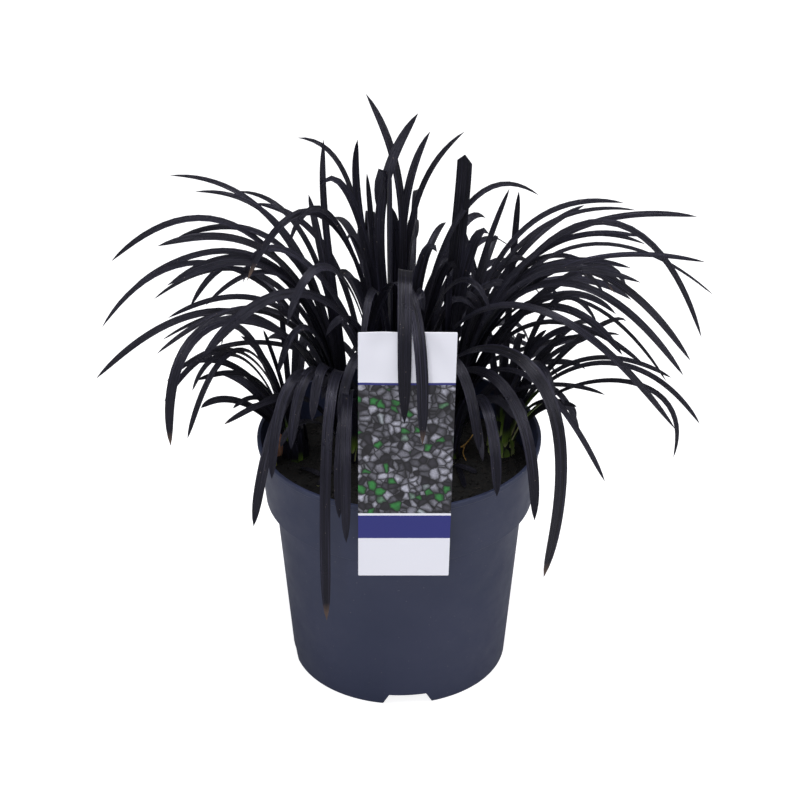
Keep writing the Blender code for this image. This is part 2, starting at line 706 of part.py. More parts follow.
def main():
    for old in list(bpy.data.objects):
        bpy.data.objects.remove(old)
    parts = bpy.data.collections.new(PLANT)
    cutters = bpy.data.collections.new("cutters")
    bpy.context.scene.collection.children.link(parts)
    bpy.context.scene.collection.children.link(cutters)
    make_pot(parts, cutters)
    make_soil(parts, cutters)
    make_label(parts, cutters)
    leaves = grow_clump()
    finish = material("near-black leaf", (0.012, 0.011, 0.018), 0.38)
    for name in CROWNS:
        make_tuft(name, leaves, finish.copy(), parts)
    for cutter in cutters.objects:
        cutter.hide_render = True
        cutter.display_type = "WIRE"


main()
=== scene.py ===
"""The potted black mondo grass in full detail, on the frame of its CAD model.

Metres, +Z up, the plant seen from the front along +Y. Sizes below are in millimetres.
Every leaf follows the same centre line as in the CAD, with a finer blade about it.
"""
import math
import random

import bmesh
import bpy
from mathutils import Matrix, Vector, noise
from mathutils.bvhtree import BVHTree


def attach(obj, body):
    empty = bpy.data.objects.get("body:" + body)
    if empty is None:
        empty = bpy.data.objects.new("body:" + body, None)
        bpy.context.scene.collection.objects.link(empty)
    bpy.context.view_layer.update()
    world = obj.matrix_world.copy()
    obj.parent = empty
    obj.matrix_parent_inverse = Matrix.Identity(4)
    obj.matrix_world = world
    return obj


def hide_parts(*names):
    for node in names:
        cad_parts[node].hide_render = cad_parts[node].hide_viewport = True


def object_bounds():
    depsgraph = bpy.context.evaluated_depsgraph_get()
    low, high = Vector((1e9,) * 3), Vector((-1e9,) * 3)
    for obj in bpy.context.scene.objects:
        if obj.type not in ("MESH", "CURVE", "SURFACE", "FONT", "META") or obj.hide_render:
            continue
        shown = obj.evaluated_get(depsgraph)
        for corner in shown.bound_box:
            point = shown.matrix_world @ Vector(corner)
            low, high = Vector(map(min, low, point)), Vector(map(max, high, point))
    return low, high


MM = 0.001
GAP = 0.3

# Camera, fitted to the pot's rim and base in the photo
PICTURE = 800.0
FOCAL_PIXELS = 2633.0
SENSOR = 36.0
EYE = Vector((0.5, -1353.0, 958.0))
PITCH = math.radians(30.06)

# Pot
POT_HEIGHT = 152.0
RIM_RADIUS = 85.0
COLLAR_BOTTOM = 111.0
COLLAR_BOTTOM_RADIUS = 80.3
BODY_TOP_RADIUS = 74.8
BASE_RADIUS = 65.4
WALL = 1.4
FLOOR = 1.8
LIP = 2.2
LIP_DROP = 3.0
POT_STEPS = 160
NOTCHES = 4
NOTCH_TURN = math.radians(4.5)
NOTCH_WIDTH = 31.0
NOTCH_TOP_WIDTH = 22.4
NOTCH_HEIGHT = 7.0
NOTCH_DEPTH = 26.0
DRAIN_RADIUS = 4.5
DRAIN_FROM_AXIS = 50.0
DRAIN_STEPS = 32

# Soil
SOIL_TOP = 126.0
SOIL_BOTTOM = 9.0
SOIL_MOUND = 4.0
SOIL_ROUGHNESS = 2.2
SOIL_GRAIN = 14.0
SOIL_RINGS = 60
SOIL_STEPS = 150
CRUMB_LUMPS = ((5.0, 1.1), (1.8, 0.5))
CRUMBS = 1500
CRUMB_SIZE = (0.5, 1.7)
CHIPS = 110
CHIP_LENGTH = (3.0, 7.5)

# Label
LABEL_CENTRE_X = 3.6
LABEL_WIDTH = 54.4
LABEL_FOOT_WIDTH = 52.0
LABEL_LEAN = 2.3
LABEL_BOTTOM = 111.0
LABEL_TOP = 270.0
LABEL_FRONT = -91.2
LABEL_BACK = -90.4
LABEL_CORNER = 0.6
LABEL_COLUMNS = 28
LABEL_ROW = 3.0
TONGUE_WIDTH = 16.0
TONGUE_INSIDE = -79.9
TONGUE_THICK = 0.8
TONGUE_RISE = 1.2
TONGUE_END = 131.0
TONGUE_BEND = 1.6
# Where one printed band ends and the next starts, from the bottom up
BANDS = (
    (136.6, "card"),
    (151.9, "blue"),
    (153.4, "card"),
    (237.2, "picture"),
    (238.6, "blue"),
    (270.0, "card"),
)
# Soft dents in the card: x, z, radius and depth
DENTS = (
    (-9.0, 264.0, 8.0, 1.3),
    (17.0, 259.0, 9.0, 1.2),
    (24.0, 248.0, 7.0, 0.6),
    (-20.0, 243.0, 8.0, 0.5),
)

# Crowns: centre x and y, radii along x and y, top, sides
CROWN_BOTTOM = 114.0
CROWN_SHRINK = 0.62
CROWNS = {
    "tuft_main": (0.0, 14.0, 40.0, 19.0, 166.0, 18),
    "tuft_back": (-3.0, 55.0, 27.0, 10.0, 158.0, 12),
    "tuft_left": (-63.0, 18.0, 8.5, 8.5, 148.0, 8),
    "tuft_right": (62.0, 20.0, 8.5, 8.5, 148.0, 8),
}
# Fans of leaves: the node each belongs to, its middle x and y, and how far its roots spread either way
FANS = {
    "mid_left": ("tuft_main", -26.0, 12.0, 8.0, 8.0),
    "centre": ("tuft_main", 0.0, 16.0, 10.0, 10.0),
    "mid_right": ("tuft_main", 26.0, 12.0, 8.0, 8.0),
    "top": ("tuft_main", -2.0, 20.0, 4.0, 4.0),
    "back": ("tuft_back", -3.0, 55.0, 17.0, 4.0),
    "left": ("tuft_left", -63.0, 18.0, 4.0, 4.0),
    "right": ("tuft_right", 62.0, 20.0, 4.0, 4.0),
}

# Leaves
ROOT_Z = 123.0
ROOT_STRAY = 0.8
LEAF_SEGMENTS = 6
FILLER_SEGMENTS = 5
FINE_SEGMENTS = 30
HALF_COLUMNS = 4
LEAF_KEEL = 1.1
TIP_KEEL = 0.65
CHANNEL = 0.35
LEAN_AT_ROOT = 9.0
LEAN_SHARE = 0.12
RISE_AT_ROOT = 0.62
ARCH_AT = 0.6
CLOSER_TO_TIP = 0.7
CURVE_POINTS = 60
WIDEST_AT = 0.35
TAPER = 16.0
BLUNT_WIDTH = 9.0
BLUNT_TAPER = 150.0
BLUNT_END = 0.12
ROOT_NARROWING = 0.3
MOST_TWIST = math.radians(22)
FACING = Vector((0.0, -0.5, 0.85))
ROLL_SHARE = 0.7
MOST_ROLL = math.radians(65)
CLEARANCE = 0.35
TEST_POINTS = 40
SEED = 20
SLIDES = (0, 4, -4, 8, -8, 12, -12, 17, -17, 23, -23, 30, -30)
SIGHT_FALL = 0.58

# Sheaths round each crown: how many, least and most width, how far up the pale base reaches
SHEATHS = {
    "tuft_main": (58, 5.0, 8.0, 0.30),
    "tuft_back": (34, 4.5, 7.0, 0.30),
    "tuft_left": (15, 3.5, 5.5, 0.45),
    "tuft_right": (17, 3.5, 5.5, 0.95),
}
SHEATH_SEGMENTS = 8
PALE_BASE = {"tuft_main": 0.10, "tuft_back": 0.10, "tuft_left": 0.14, "tuft_right": 0.24}
DRY_TIPS = 0.008
BOX_MARGIN = 0.01
# Leaves with a dry tip in the photo, by their tip's x and y
DRY_LEAVES = {(-85, -50), (-103, -22), (-42, -95), (13, -100)}

# Loose bits on the soil, by the pixel where each shows in the photo
TWIG_PIXELS = ((454.7, 453.7), (464.5, 449.0), (473.0, 439.0))
TWIG_BRANCH_PIXELS = ((464.5, 449.0), (463.0, 458.0), (466.0, 466.0))
TWIG_RADIUS = 0.75
SCRAP_PIXELS = (
    ((453.0, 468.0), (477.0, 476.0), 3.6),
    ((458.0, 470.0), (465.0, 490.0), 3.2),
    ((300.0, 470.0), (322.0, 478.0), 4.0),
    ((318.0, 486.0), (332.0, 472.0), 3.4),
)
SPROUT_PIXELS = (275.0, 465.0)
DRY_SHEATH_PIXELS = (280.0, 455.0)

# Each leaf that shows: fan, tip x, y and z, height of its arch, how far out its bend is, width
LEAVES = (
    # Upper left
    ("mid_left", -134, 40, 303, 278, 0.33, 4.3),
    ("mid_left", -98, 60, 283, 265, 0.33, 4.0),
    ("mid_left", -118, 20, 302, 276, 0.33, 4.0),
    ("back", -87, 75, 268, 244, 0.33, 3.9),
    ("mid_left", -165, -10, 272, 287, 0.48, 4.0),
    ("mid_left", -128, 0, 282, 271, 0.33, 4.0),
    ("mid_left", -137, -20, 287, 269, 0.33, 6.4),
    ("mid_left", -170, -30, 240, 270, 0.62, 4.3),
    ("mid_left", -155, 10, 246, 262, 0.38, 4.0),
    ("mid_left", -137, 30, 236, 252, 0.38, 4.0),
    ("mid_left", -148, 50, 216, 242, 0.43, 3.9),
    ("mid_left", -132, -30, 267, 260, 0.33, 4.0),
    ("mid_left", -111, -20, 249, 256, 0.43, 3.6),
    ("mid_left", -121, -10, 242, 264, 0.63, 3.9),
    ("centre", -85, -50, 280, 304, 0.53, 4.3),
    ("centre", -62, -40, 296, 301, 0.70, 4.0),
    # Top
    ("top", -19, 30, 359, 285, -1.30, 4.8),
    ("back", -60, 62, 317, 285, 0.12, 3.8),
    ("mid_left", -43, 20, 335, 262, 1.40, 5.2),
    ("centre", -24, 40, 326, 262, 1.40, 4.6),
    ("back", -19, 52, 299, 247, 0.60, 3.8),
    ("top", 11, 30, 347, 280, -2.20, 6.6),
    ("top", 18, 36, 333, 278, -0.40, 4.8),
    ("top", 38, 40, 331, 280, -0.15, 3.4),
    ("mid_right", 38, 30, 321, 262, 0.90, 10.4),
    ("mid_right", 52, 10, 280, 262, 0.60, 7.6),
    ("centre", 22, 10, 268, 256, 0.60, 7.0),
    ("mid_right", 30, -10, 262, 250, 0.70, 7.0),
    ("centre", 14, -30, 250, 248, 0.80, 7.0),
    ("centre", 9, -20, 304, 252, 0.60, 9.2),
    ("top", -13, 10, 297, 306, 0.30, 7.4),
    ("centre", -4, 24, 290, 252, 0.50, 7.6),
    ("centre", 82, 40, 290, 286, 0.43, 3.8),
    ("mid_right", 65, 50, 290, 236, 0.40, 3.8),
    ("right", 70, 40, 293, 235, 0.60, 4.0),
    ("right", 36, 60, 264, 221, 0.60, 4.4),
    ("mid_left", -53, 40, 291, 242, 0.60, 4.6),
    ("centre", -46, 20, 305, 291, 0.60, 4.6),
    ("centre", -5, -5, 332, 262, 2.40, 6.7),
    # Upper right
    ("mid_right", 111, 60, 275, 243, 0.33, 4.0),
    ("mid_right", 131, 30, 290, 272, 0.33, 4.0),
    ("mid_right", 140, 45, 278, 265, 0.33, 4.0),
    ("mid_right", 173, 20, 286, 268, 0.33, 4.0),
    ("mid_right", 176, -10, 222, 292, 0.68, 4.3),
    ("mid_right", 147, 50, 253, 256, 0.43, 3.6),
    ("mid_right", 140, 0, 283, 264, 0.33, 3.6),
    ("mid_right", 184, 10, 240, 268, 0.43, 4.0),
    ("mid_right", 173, -30, 282, 260, 0.33, 4.0),
    ("mid_right", 119, 50, 239, 236, 0.33, 4.0),
    ("mid_right", 133, -10, 268, 252, 0.33, 4.0),
    ("mid_right", 137, -30, 269, 255, 0.33, 4.0),
    ("mid_right", 129, 40, 225, 252, 0.58, 3.6),
    ("right", 118, 30, 211, 226, 0.53, 3.6),
    ("mid_right", 168, -30, 218, 266, 0.48, 6.5),
    ("mid_right", 163, -42, 215, 260, 0.48, 6.5),
    ("mid_right", 155, -30, 204, 248, 0.53, 3.6),
    # Lower right
    ("centre", 158, -60, 190, 248, 0.43, 6.5),
    ("right", 108, 0, 224, 204, 0.33, 4.0),
    ("right", 161, 0, 190, 196, 0.48, 4.0),
    ("right", 177, -20, 170, 201, 0.63, 4.0),
    ("right", 160, -40, 159, 201, 1.15, 4.0),
    ("right", 105, -10, 176, 168, 0.33, 3.9),
    ("mid_right", 119, -60, 155, 206, 0.48, 4.3),
    ("centre", 84, -80, 102, 236, 1.45, 8.0),
    ("centre", 78, -75, 138, 216, 1.00, 6.9),
    ("mid_right", 56, -76, 155, 202, 0.95, 6.6),
    ("centre", 46, -62, 176, 222, 0.80, 6.2),
    ("mid_right", 143, -20, 209, 227, 0.43, 3.6),
    ("right", 103, 10, 213, 190, 0.33, 3.6),
    ("right", 112, 25, 202, 186, 0.43, 3.6),
    ("right", 88, 25, 209, 187, 0.33, 4.0),
    ("centre", 52, -40, 255, 259, 0.70, 3.6),
    # Lower left
    ("mid_left", -174, -40, 212, 241, 0.48, 6.5),
    ("mid_left", -138, -45, 231, 241, 0.38, 4.3),
    ("mid_left", -138, -10, 221, 230, 0.38, 4.0),
    ("mid_left", -138, 30, 214, 227, 0.38, 4.0),
    ("mid_left", -132, -50, 173, 245, 1.05, 6.5),
    ("left", -124, -30, 166, 213, 0.58, 4.0),
    ("left", -136, -35, 194, 213, 0.53, 4.0),
    ("left", -119, -10, 194, 186, 0.33, 4.0),
    ("mid_left", -103, -22, 171, 178, 0.32, 5.6),
    ("left", -99, 0, 169, 170, 0.53, 3.6),
    ("centre", -112, -50, 231, 253, 0.48, 6.5),
    ("left", -70, 20, 227, 189, 0.60, 3.6),
    ("left", -80, 10, 217, 187, 0.60, 3.6),
    ("left", -60, 35, 237, 196, 0.60, 3.6),
    ("left", -95, 30, 202, 184, 0.43, 3.6),
    # Front, over the rim and over the label
    ("mid_left", -84, -75, 134, 207, 0.68, 6.4),
    ("mid_left", -73, -70, 163, 216, 0.90, 5.9),
    ("mid_left", -42, -95, 82, 220, 1.15, 6.1),
    ("mid_left", -30, -100, 139, 214, 1.10, 5.9),
    ("mid_left", -34, -93, 151, 207, 1.05, 5.9),
    ("mid_left", -62, -62, 178, 214, 0.80, 6.2),
    ("mid_left", -50, -50, 190, 212, 0.70, 6.0),
    ("centre", -34, -66, 196, 226, 0.80, 6.0),
    ("centre", 3, -99, 217, 295, 1.05, 8.0),
    ("mid_left", 13, -100, 204, 288, 1.08, 7.0),
)

# Leaves that fill the clump, drawn at random: fan, how many, heading and its spread in degrees,
# least and most reach, least and most rise
FILLERS = (
    ("centre", 20, -90, 180, 20, 90, 80, 160),
    ("mid_left", 8, 180, 75, 35, 115, 50, 130),
    ("mid_right", 12, 0, 75, 35, 115, 50, 150),
    ("back", 28, 90, 105, 30, 140, 40, 125),
    ("left", 7, 170, 100, 20, 70, 35, 85),
    ("right", 9, -10, 100, 20, 75, 35, 110),
)
FILLER_WIDTH = (4.2, 5.8)
FILLER_TRIES = 6


# Colours, as they read in the photo


def srgb(red, green, blue):
    """A colour of 0 to 255 as linear light."""
    return tuple((c / 255 / 12.92) if c <= 10 else ((c / 255 + 0.055) / 1.055) ** 2.4
                 for c in (red, green, blue))


PLASTIC = srgb(36, 43, 69)
PLASTIC_LIGHT = srgb(46, 51, 76)
PLASTIC_DUST = srgb(95, 94, 104)
LEAF_DARK = srgb(7, 7, 11)
LEAF_LIGHT = srgb(15, 15, 23)
# Violet-grey painted highlight: pale streaks along the leaf veins and a pale rim along the leaf edges
LEAF_PAINTED_HIGHLIGHT = srgb(50, 49, 66)
LEAF_DRY = srgb(94, 78, 68)
LEAF_PALE = srgb(196, 196, 150)
LEAF_GREEN = srgb(92, 116, 44)
LEAF_DUST = srgb(140, 128, 120)
SOIL_DARK = srgb(9, 8, 8)
SOIL_LIGHT = srgb(34, 27, 22)
TWIG = srgb(205, 160, 88)
SHEATH_BROWN = srgb(190, 138, 112)
SPROUT = srgb(176, 184, 84)
CARD = srgb(243, 243, 252)
BLUE = srgb(40, 44, 122)
PEBBLE_GAP = srgb(16, 14, 18)
PEBBLE_DARK = srgb(44, 42, 50)
PEBBLE_LIGHT = srgb(214, 214, 230)
PEBBLE_GREEN = srgb(48, 140, 62)
FLOOR_GREY = (0.5, 0.5, 0.52)
FLOOR_GLOW = 0.82
SURROUND = 0.22
FLOOR_HALF = 6.0
FLOOR_DROP = 0.0002


class Shader:
    """Builds the nodes of one material."""

    def __init__(self, name, roughness):
        self.material = bpy.data.materials.new(name)
        self.material.use_nodes = True
        self.tree = self.material.node_tree
        self.surface = self.tree.nodes["Principled BSDF"]
        self.surface.inputs["Roughness"].default_value = roughness

    def node(self, kind, **settings):
        made = self.tree.nodes.new(kind)
        for name, value in settings.items():
            setattr(made, name, value)
        return made

    def feed(self, socket, value):
        """Links a socket to another, or sets it."""
        if isinstance(value, bpy.types.NodeSocket):
            self.tree.links.new(value, socket)
        elif isinstance(value, tuple) and len(value) == 3 and socket.type == "RGBA":
            socket.default_value = (*value, 1.0)
        else:
            socket.default_value = value

    def attribute(self, name):
        return self.node("ShaderNodeAttribute", attribute_name=name).outputs["Fac"]

    def place(self):
        return self.node("ShaderNodeTexCoord").outputs["Object"]

    def part(self, vector, axis):
        split = self.node("ShaderNodeSeparateXYZ")
        self.feed(split.inputs[0], vector)
        return split.outputs[axis]

    def sum(self, operation, a, b=0.0, clamp=False):
        made = self.node("ShaderNodeMath", operation=operation, use_clamp=clamp)
        self.feed(made.inputs[0], a)
        self.feed(made.inputs[1], b)
        return made.outputs[0]

    def vector(self, x, y, z):
        made = self.node("ShaderNodeCombineXYZ")
        for socket, value in zip(made.inputs, (x, y, z)):
            self.feed(socket, value)
        return made.outputs[0]

    def noise(self, scale, detail=2.0, place=None):
        made = self.node("ShaderNodeTexNoise")
        made.inputs["Scale"].default_value = scale
        made.inputs["Detail"].default_value = detail
        self.feed(made.inputs["Vector"], place or self.place())
        return made.outputs["Fac"]

    def between(self, value, low, high):
        """0 below low, 1 above high and an even rise from one to the other."""
        made = self.node("ShaderNodeMapRange", clamp=True)
        self.feed(made.inputs["Value"], value)
        self.feed(made.inputs["From Min"], low)
        self.feed(made.inputs["From Max"], high)
        return made.outputs["Result"]

    def mix(self, share, a, b):
        made = self.node("ShaderNodeMix", data_type="RGBA")
        self.feed(made.inputs[0], share)
        self.feed(made.inputs[6], a)
        self.feed(made.inputs[7], b)
        return made.outputs[2]

    def bump(self, height, depth, strength=1.0):
        made = self.node("ShaderNodeBump")
        made.inputs["Distance"].default_value = depth * MM
        made.inputs["Strength"].default_value = strength
        self.feed(made.inputs["Height"], height)
        self.feed(self.surface.inputs["Normal"], made.outputs[0])

    def colour(self, value):
        self.feed(self.surface.inputs["Base Color"], value)

    def roughness(self, value):
        self.feed(self.surface.inputs["Roughness"], value)


def plastic_finish():
    """Matte slate plastic with a fine grain, faint clouding and a few specks of dust."""
    shader = Shader("slate plastic", 0.42)
    cloud = shader.between(shader.noise(18, 3), 0.35, 0.75)
    specks = shader.between(shader.noise(620, 1), 0.755, 0.79)
    base = shader.mix(cloud, PLASTIC, PLASTIC_LIGHT)
    shader.colour(shader.mix(shader.sum("MULTIPLY", specks, 0.6), base, PLASTIC_DUST))
    shader.roughness(shader.between(shader.noise(70, 4), -0.9, 1.9))
    shader.bump(shader.noise(1500, 2), 0.04, 0.5)
    return shader.material


def leaf_finish():
    """Near-black leaf with a violet sheen, fine veins along it with pale streaks of painted highlight, a pale
    rim of painted highlight along its edges, a pale base and here and there a dry tip.
    """
    shader = Shader("black leaf", 0.36)
    along = shader.attribute("along")
    across = shader.attribute("across")
    tint = shader.attribute("tint")
    pale = shader.attribute("pale")
    dry = shader.attribute("dry")
    stripes = shader.vector(shader.sum("MULTIPLY", across, 6.0), shader.sum("MULTIPLY", along, 2.0),
                            shader.sum("MULTIPLY", tint, 40.0))
    vein = shader.noise(1.6, 2, stripes)
    patch = shader.noise(55, 3)
    dark = shader.mix(shader.between(shader.sum("ADD", tint, patch), 0.45, 1.45), LEAF_DARK, LEAF_LIGHT)
    # Painted highlight: a pale rim along both edges of each leaf
    edge = shader.between(shader.sum("ABSOLUTE", across), 0.86, 1.0)
    # Painted highlight: pale violet-grey streaks along the veins
    veins_painted_highlight = shader.mix(shader.sum("MULTIPLY", shader.between(vein, 0.5, 0.7), 0.8), dark, LEAF_PAINTED_HIGHLIGHT)
    edges_painted_highlight = shader.mix(shader.sum("MULTIPLY", edge, 0.22), veins_painted_highlight, LEAF_PAINTED_HIGHLIGHT)
    wobble = shader.sum("MULTIPLY", shader.sum("SUBTRACT", vein, 0.5), 0.25)
    height = shader.sum("ADD", shader.sum("DIVIDE", along, pale), wobble)
    greened = shader.mix(shader.between(height, 1.25, 0.75), edges_painted_highlight, LEAF_GREEN)
    based = shader.mix(shader.between(height, 0.75, 0.3), greened, LEAF_PALE)
    withered = shader.between(shader.sum("ADD", along, shader.sum("MULTIPLY", dry, 0.035)), 0.985, 1.01)
    tipped = shader.mix(shader.sum("MULTIPLY", withered, shader.between(dry, 0.0, 0.2)), based, LEAF_DRY)
    specks = shader.between(shader.noise(760, 1), 0.76, 0.79)
    shader.colour(shader.mix(shader.sum("MULTIPLY", specks, 0.5), tipped, LEAF_DUST))
    shader.roughness(shader.between(shader.noise(120, 2), -0.45, 2.3))
    shader.surface.inputs["Specular IOR Level"].default_value = 0.32
    shader.surface.inputs["Specular Tint"].default_value = (0.86, 0.84, 1.0, 1.0)
    shader.bump(vein, 0.7, 0.85)
    return shader.material


def soil_finish():
    """Damp black-brown compost."""
    shader = Shader("compost", 0.9)
    grain = shader.noise(420, 5)
    shader.colour(shader.mix(shader.between(grain, 0.5, 0.8), SOIL_DARK, SOIL_LIGHT))
    shader.bump(grain, 0.8)
    return shader.material


def wood_finish(name, colour):
    """Dry bark, twig or sheath, streaked."""
    shader = Shader(name, 0.75)
    grain = shader.noise(260, 4)
    shader.colour(shader.mix(shader.between(grain, 0.3, 0.8), tuple(c * 0.45 for c in colour), colour))
    shader.bump(grain, 0.3)
    return shader.material


def card_finish():
    """Smooth white printed card."""
    shader = Shader("white card", 0.32)
    shader.colour(CARD)
    return shader.material


def blue_finish():
    """Solid blue print."""
    shader = Shader("blue print", 0.34)
    shader.colour(BLUE)
    return shader.material


def picture_finish():
    """A generic printed pattern of small pebbles with a few green ones."""
    shader = Shader("pebble print", 0.3)
    cells = shader.node("ShaderNodeTexVoronoi", feature="F1")
    edges = shader.node("ShaderNodeTexVoronoi", feature="DISTANCE_TO_EDGE")
    place = shader.place()
    sway = shader.sum("MULTIPLY", shader.sum("SUBTRACT", shader.noise(160, 3), 0.5), 0.004)
    flat = shader.vector(shader.sum("ADD", shader.part(place, 0), sway), 0.0,
                         shader.sum("SUBTRACT", shader.part(place, 2), sway))
    for pattern in (cells, edges):
        pattern.inputs["Scale"].default_value = 230.0
        shader.feed(pattern.inputs["Vector"], flat)
    split = shader.node("ShaderNodeSeparateColor")
    shader.feed(split.inputs[0], cells.outputs["Color"])
    stone = shader.mix(shader.between(split.outputs[0], 0.15, 1.0), PEBBLE_DARK, PEBBLE_LIGHT)
    green = shader.between(split.outputs[1], 0.88, 0.9)
    coloured = shader.mix(green, stone, PEBBLE_GREEN)
    grain = shader.between(shader.noise(1100, 4), 0.3, 0.8)
    lit = shader.mix(shader.sum("MULTIPLY", grain, 0.5), coloured, PEBBLE_DARK)
    shade = shader.between(edges.outputs["Distance"], 0.0, 0.32)
    shader.colour(shader.mix(shade, PEBBLE_GAP, lit))
    return shader.material


def mesh_object(name, points, faces, finishes, face_finishes=None):
    """A piece from points in millimetres."""
    mesh = bpy.data.meshes.new(name)
    mesh.from_pydata([Vector(p) * MM for p in points], [], faces)
    for finish in finishes:
        mesh.materials.append(finish)
    if face_finishes:
        mesh.polygons.foreach_set("material_index", face_finishes)
    made = bpy.data.objects.new(name, mesh)
    bpy.context.scene.collection.objects.link(made)
    return made


def smooth(thing, angle):
    """Rounded faces look round, and edges sharper than the angle stay sharp."""
    thing.data.shade_smooth()
    thing.data.set_sharp_from_angle(angle=math.radians(angle))


def apply_modifiers(thing):
    """Replaces an object's mesh by what its modifiers make of it."""
    graph = bpy.context.evaluated_depsgraph_get()
    mesh = bpy.data.meshes.new_from_object(thing.evaluated_get(graph))
    thing.modifiers.clear()
    thing.data = mesh


def turned(profile, steps):
    """Points and faces turned from a profile of (radius, height) whose ends lie on the axis."""
    points = [(0.0, 0.0, profile[0][1])]
    for radius, z in profile[1:-1]:
        for i in range(steps):
            angle = 2 * math.pi * i / steps
            points.append((radius * math.cos(angle), radius * math.sin(angle), z))
    points.append((0.0, 0.0, profile[-1][1]))
    faces = []
    rings = len(profile) - 2
    for i in range(steps):
        j = (i + 1) % steps
        faces.append((0, 1 + i, 1 + j))
        for ring in range(rings - 1):
            a = 1 + ring * steps
            b = a + steps
            faces.append((a + i, b + i, b + j, a + j))
        last = 1 + (rings - 1) * steps
        faces.append((last + i, len(points) - 1, last + j))
    return points, faces


def rounded(corners, radius, steps):
    """A profile with its inner corners rounded, each no more than a third of the way to the next."""
    path = [Vector(p) for p in corners]
    made = [path[0]]
    for before, here, after in zip(path, path[1:], path[2:]):
        cut = min(radius, (before - here).length / 3, (after - here).length / 3)
        start = here + (before - here).normalized() * cut
        end = here + (after - here).normalized() * cut
        for i in range(steps + 1):
            t = i / steps
            made.append((1 - t) ** 2 * start + 2 * t * (1 - t) * here + t * t * end)
    made.append(path[-1])
    return [tuple(p) for p in made]


def outer_radius(z):
    """The outer radius of the pot at a height."""
    if z > COLLAR_BOTTOM:
        share = (z - COLLAR_BOTTOM) / (POT_HEIGHT - COLLAR_BOTTOM)
        return COLLAR_BOTTOM_RADIUS + share * (RIM_RADIUS - COLLAR_BOTTOM_RADIUS)
    return BASE_RADIUS + z / COLLAR_BOTTOM * (BODY_TOP_RADIUS - BASE_RADIUS)


def pot_profile():
    """From the middle of the floor up the inside, over the rim, down the outside and back under the floor."""
    inner_foot = outer_radius(FLOOR) - WALL
    under_lip = POT_HEIGHT - LIP_DROP
    return [
        (0.0, FLOOR),
        (inner_foot, FLOOR),
        (BODY_TOP_RADIUS - WALL, COLLAR_BOTTOM - WALL),
        (COLLAR_BOTTOM_RADIUS - WALL, COLLAR_BOTTOM + WALL),
        (RIM_RADIUS - WALL - 0.5, under_lip),
        (RIM_RADIUS - LIP, POT_HEIGHT - 0.7),
        (RIM_RADIUS - LIP, POT_HEIGHT),
        (RIM_RADIUS, POT_HEIGHT),
        (RIM_RADIUS - 0.1, under_lip),
        (outer_radius(under_lip) - 0.6, under_lip - 0.6),
        (COLLAR_BOTTOM_RADIUS, COLLAR_BOTTOM),
        (BODY_TOP_RADIUS, COLLAR_BOTTOM - 0.4),
        (outer_radius(0), 0.0),
        (0.0, 0.0),
    ]


def solid(points, faces):
    """A helper solid in the scene, removed once it has cut or joined."""
    mesh = bpy.data.meshes.new("helper")
    mesh.from_pydata([Vector(p) * MM for p in points], [], faces)
    work = bmesh.new()
    work.from_mesh(mesh)
    bmesh.ops.recalc_face_normals(work, faces=work.faces)
    work.to_mesh(mesh)
    work.free()
    made = bpy.data.objects.new("helper", mesh)
    bpy.context.scene.collection.objects.link(made)
    return made


def prism(outline, start, end):
    """A helper solid with a flat outline of (x, z) at each end, carried along y from start to end."""
    count = len(outline)
    points = [(x, start, z) for x, z in outline] + [(x, end, z) for x, z in outline]
    faces = [(i, i + count, (i + 1) % count + count, (i + 1) % count) for i in range(count)]
    faces += [tuple(range(count)), tuple(range(2 * count - 1, count - 1, -1))]
    return solid(points, faces)


def combine(thing, operation, other):
    """Cuts or joins a helper solid, which is then removed."""
    change = thing.modifiers.new(operation.title(), "BOOLEAN")
    change.operation = operation
    change.solver = "EXACT"
    change.object = other
    apply_modifiers(thing)
    bpy.data.objects.remove(other)


def notch_outline(grow):
    """A foot notch seen from outside, grown by the wall for the bump over it."""
    low = NOTCH_WIDTH / 2 + grow
    high = NOTCH_TOP_WIDTH / 2 + grow
    foot = -1.0 if grow == 0 else FLOOR / 2
    return [(-low, foot), (low, foot), (high, NOTCH_HEIGHT + grow), (-high, NOTCH_HEIGHT + grow)]


def make_pot():
    """The pot, with a wide collar, foot notches that run in under the floor, and a drain hole over each."""
    points, faces = turned(rounded(pot_profile(), 0.8, 3), POT_STEPS)
    pot = mesh_object("pot_fine", points, faces, [plastic_finish()])
    inside = -(outer_radius(0) - NOTCH_DEPTH)
    plug_radius = outer_radius(0) - WALL / 2 - 0.2
    for i in range(NOTCHES):
        turn = Matrix.Rotation(NOTCH_TURN + i * 2 * math.pi / NOTCHES, 4, "Z")
        outline = [(0.0, 12.0), (plug_radius, 12.0), (plug_radius, FLOOR / 3), (0.0, FLOOR / 3)]
        plug = solid(*turned(outline, 64))
        bump = prism(notch_outline(WALL), -RIM_RADIUS, inside + WALL)
        combine(bump, "INTERSECT", plug)
        channel = prism(notch_outline(0), -RIM_RADIUS, inside)
        tube = [(0.0, 2 * NOTCH_HEIGHT), (DRAIN_RADIUS, 2 * NOTCH_HEIGHT), (DRAIN_RADIUS, 0.0), (0.0, 0.0)]
        points, faces = turned(tube, DRAIN_STEPS)
        drain = solid([(x, y - DRAIN_FROM_AXIS, z) for x, y, z in points], faces)
        for cutter, operation in ((bump, "UNION"), (channel, "DIFFERENCE"), (drain, "DIFFERENCE")):
            cutter.data.transform(turn)
            combine(pot, operation, cutter)
    smooth(pot, 30)
    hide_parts("pot")
    return pot


def soil_height(x, y):
    """The soil's surface, higher among the crowns and lower by the wall."""
    edge = min(1.0, math.hypot(x, y) / outer_radius(SOIL_TOP))
    lumps = noise.noise(Vector((x, y, 3.0)) / SOIL_GRAIN)
    return SOIL_TOP + SOIL_MOUND * (1 - edge * edge) + SOIL_ROUGHNESS * lumps


def crumbled_height(x, y):
    """The soil's surface with its crumbs."""
    height = soil_height(x, y)
    for size, rise in CRUMB_LUMPS:
        height += rise * noise.noise(Vector((x, y, 9.0)) / size)
    return height


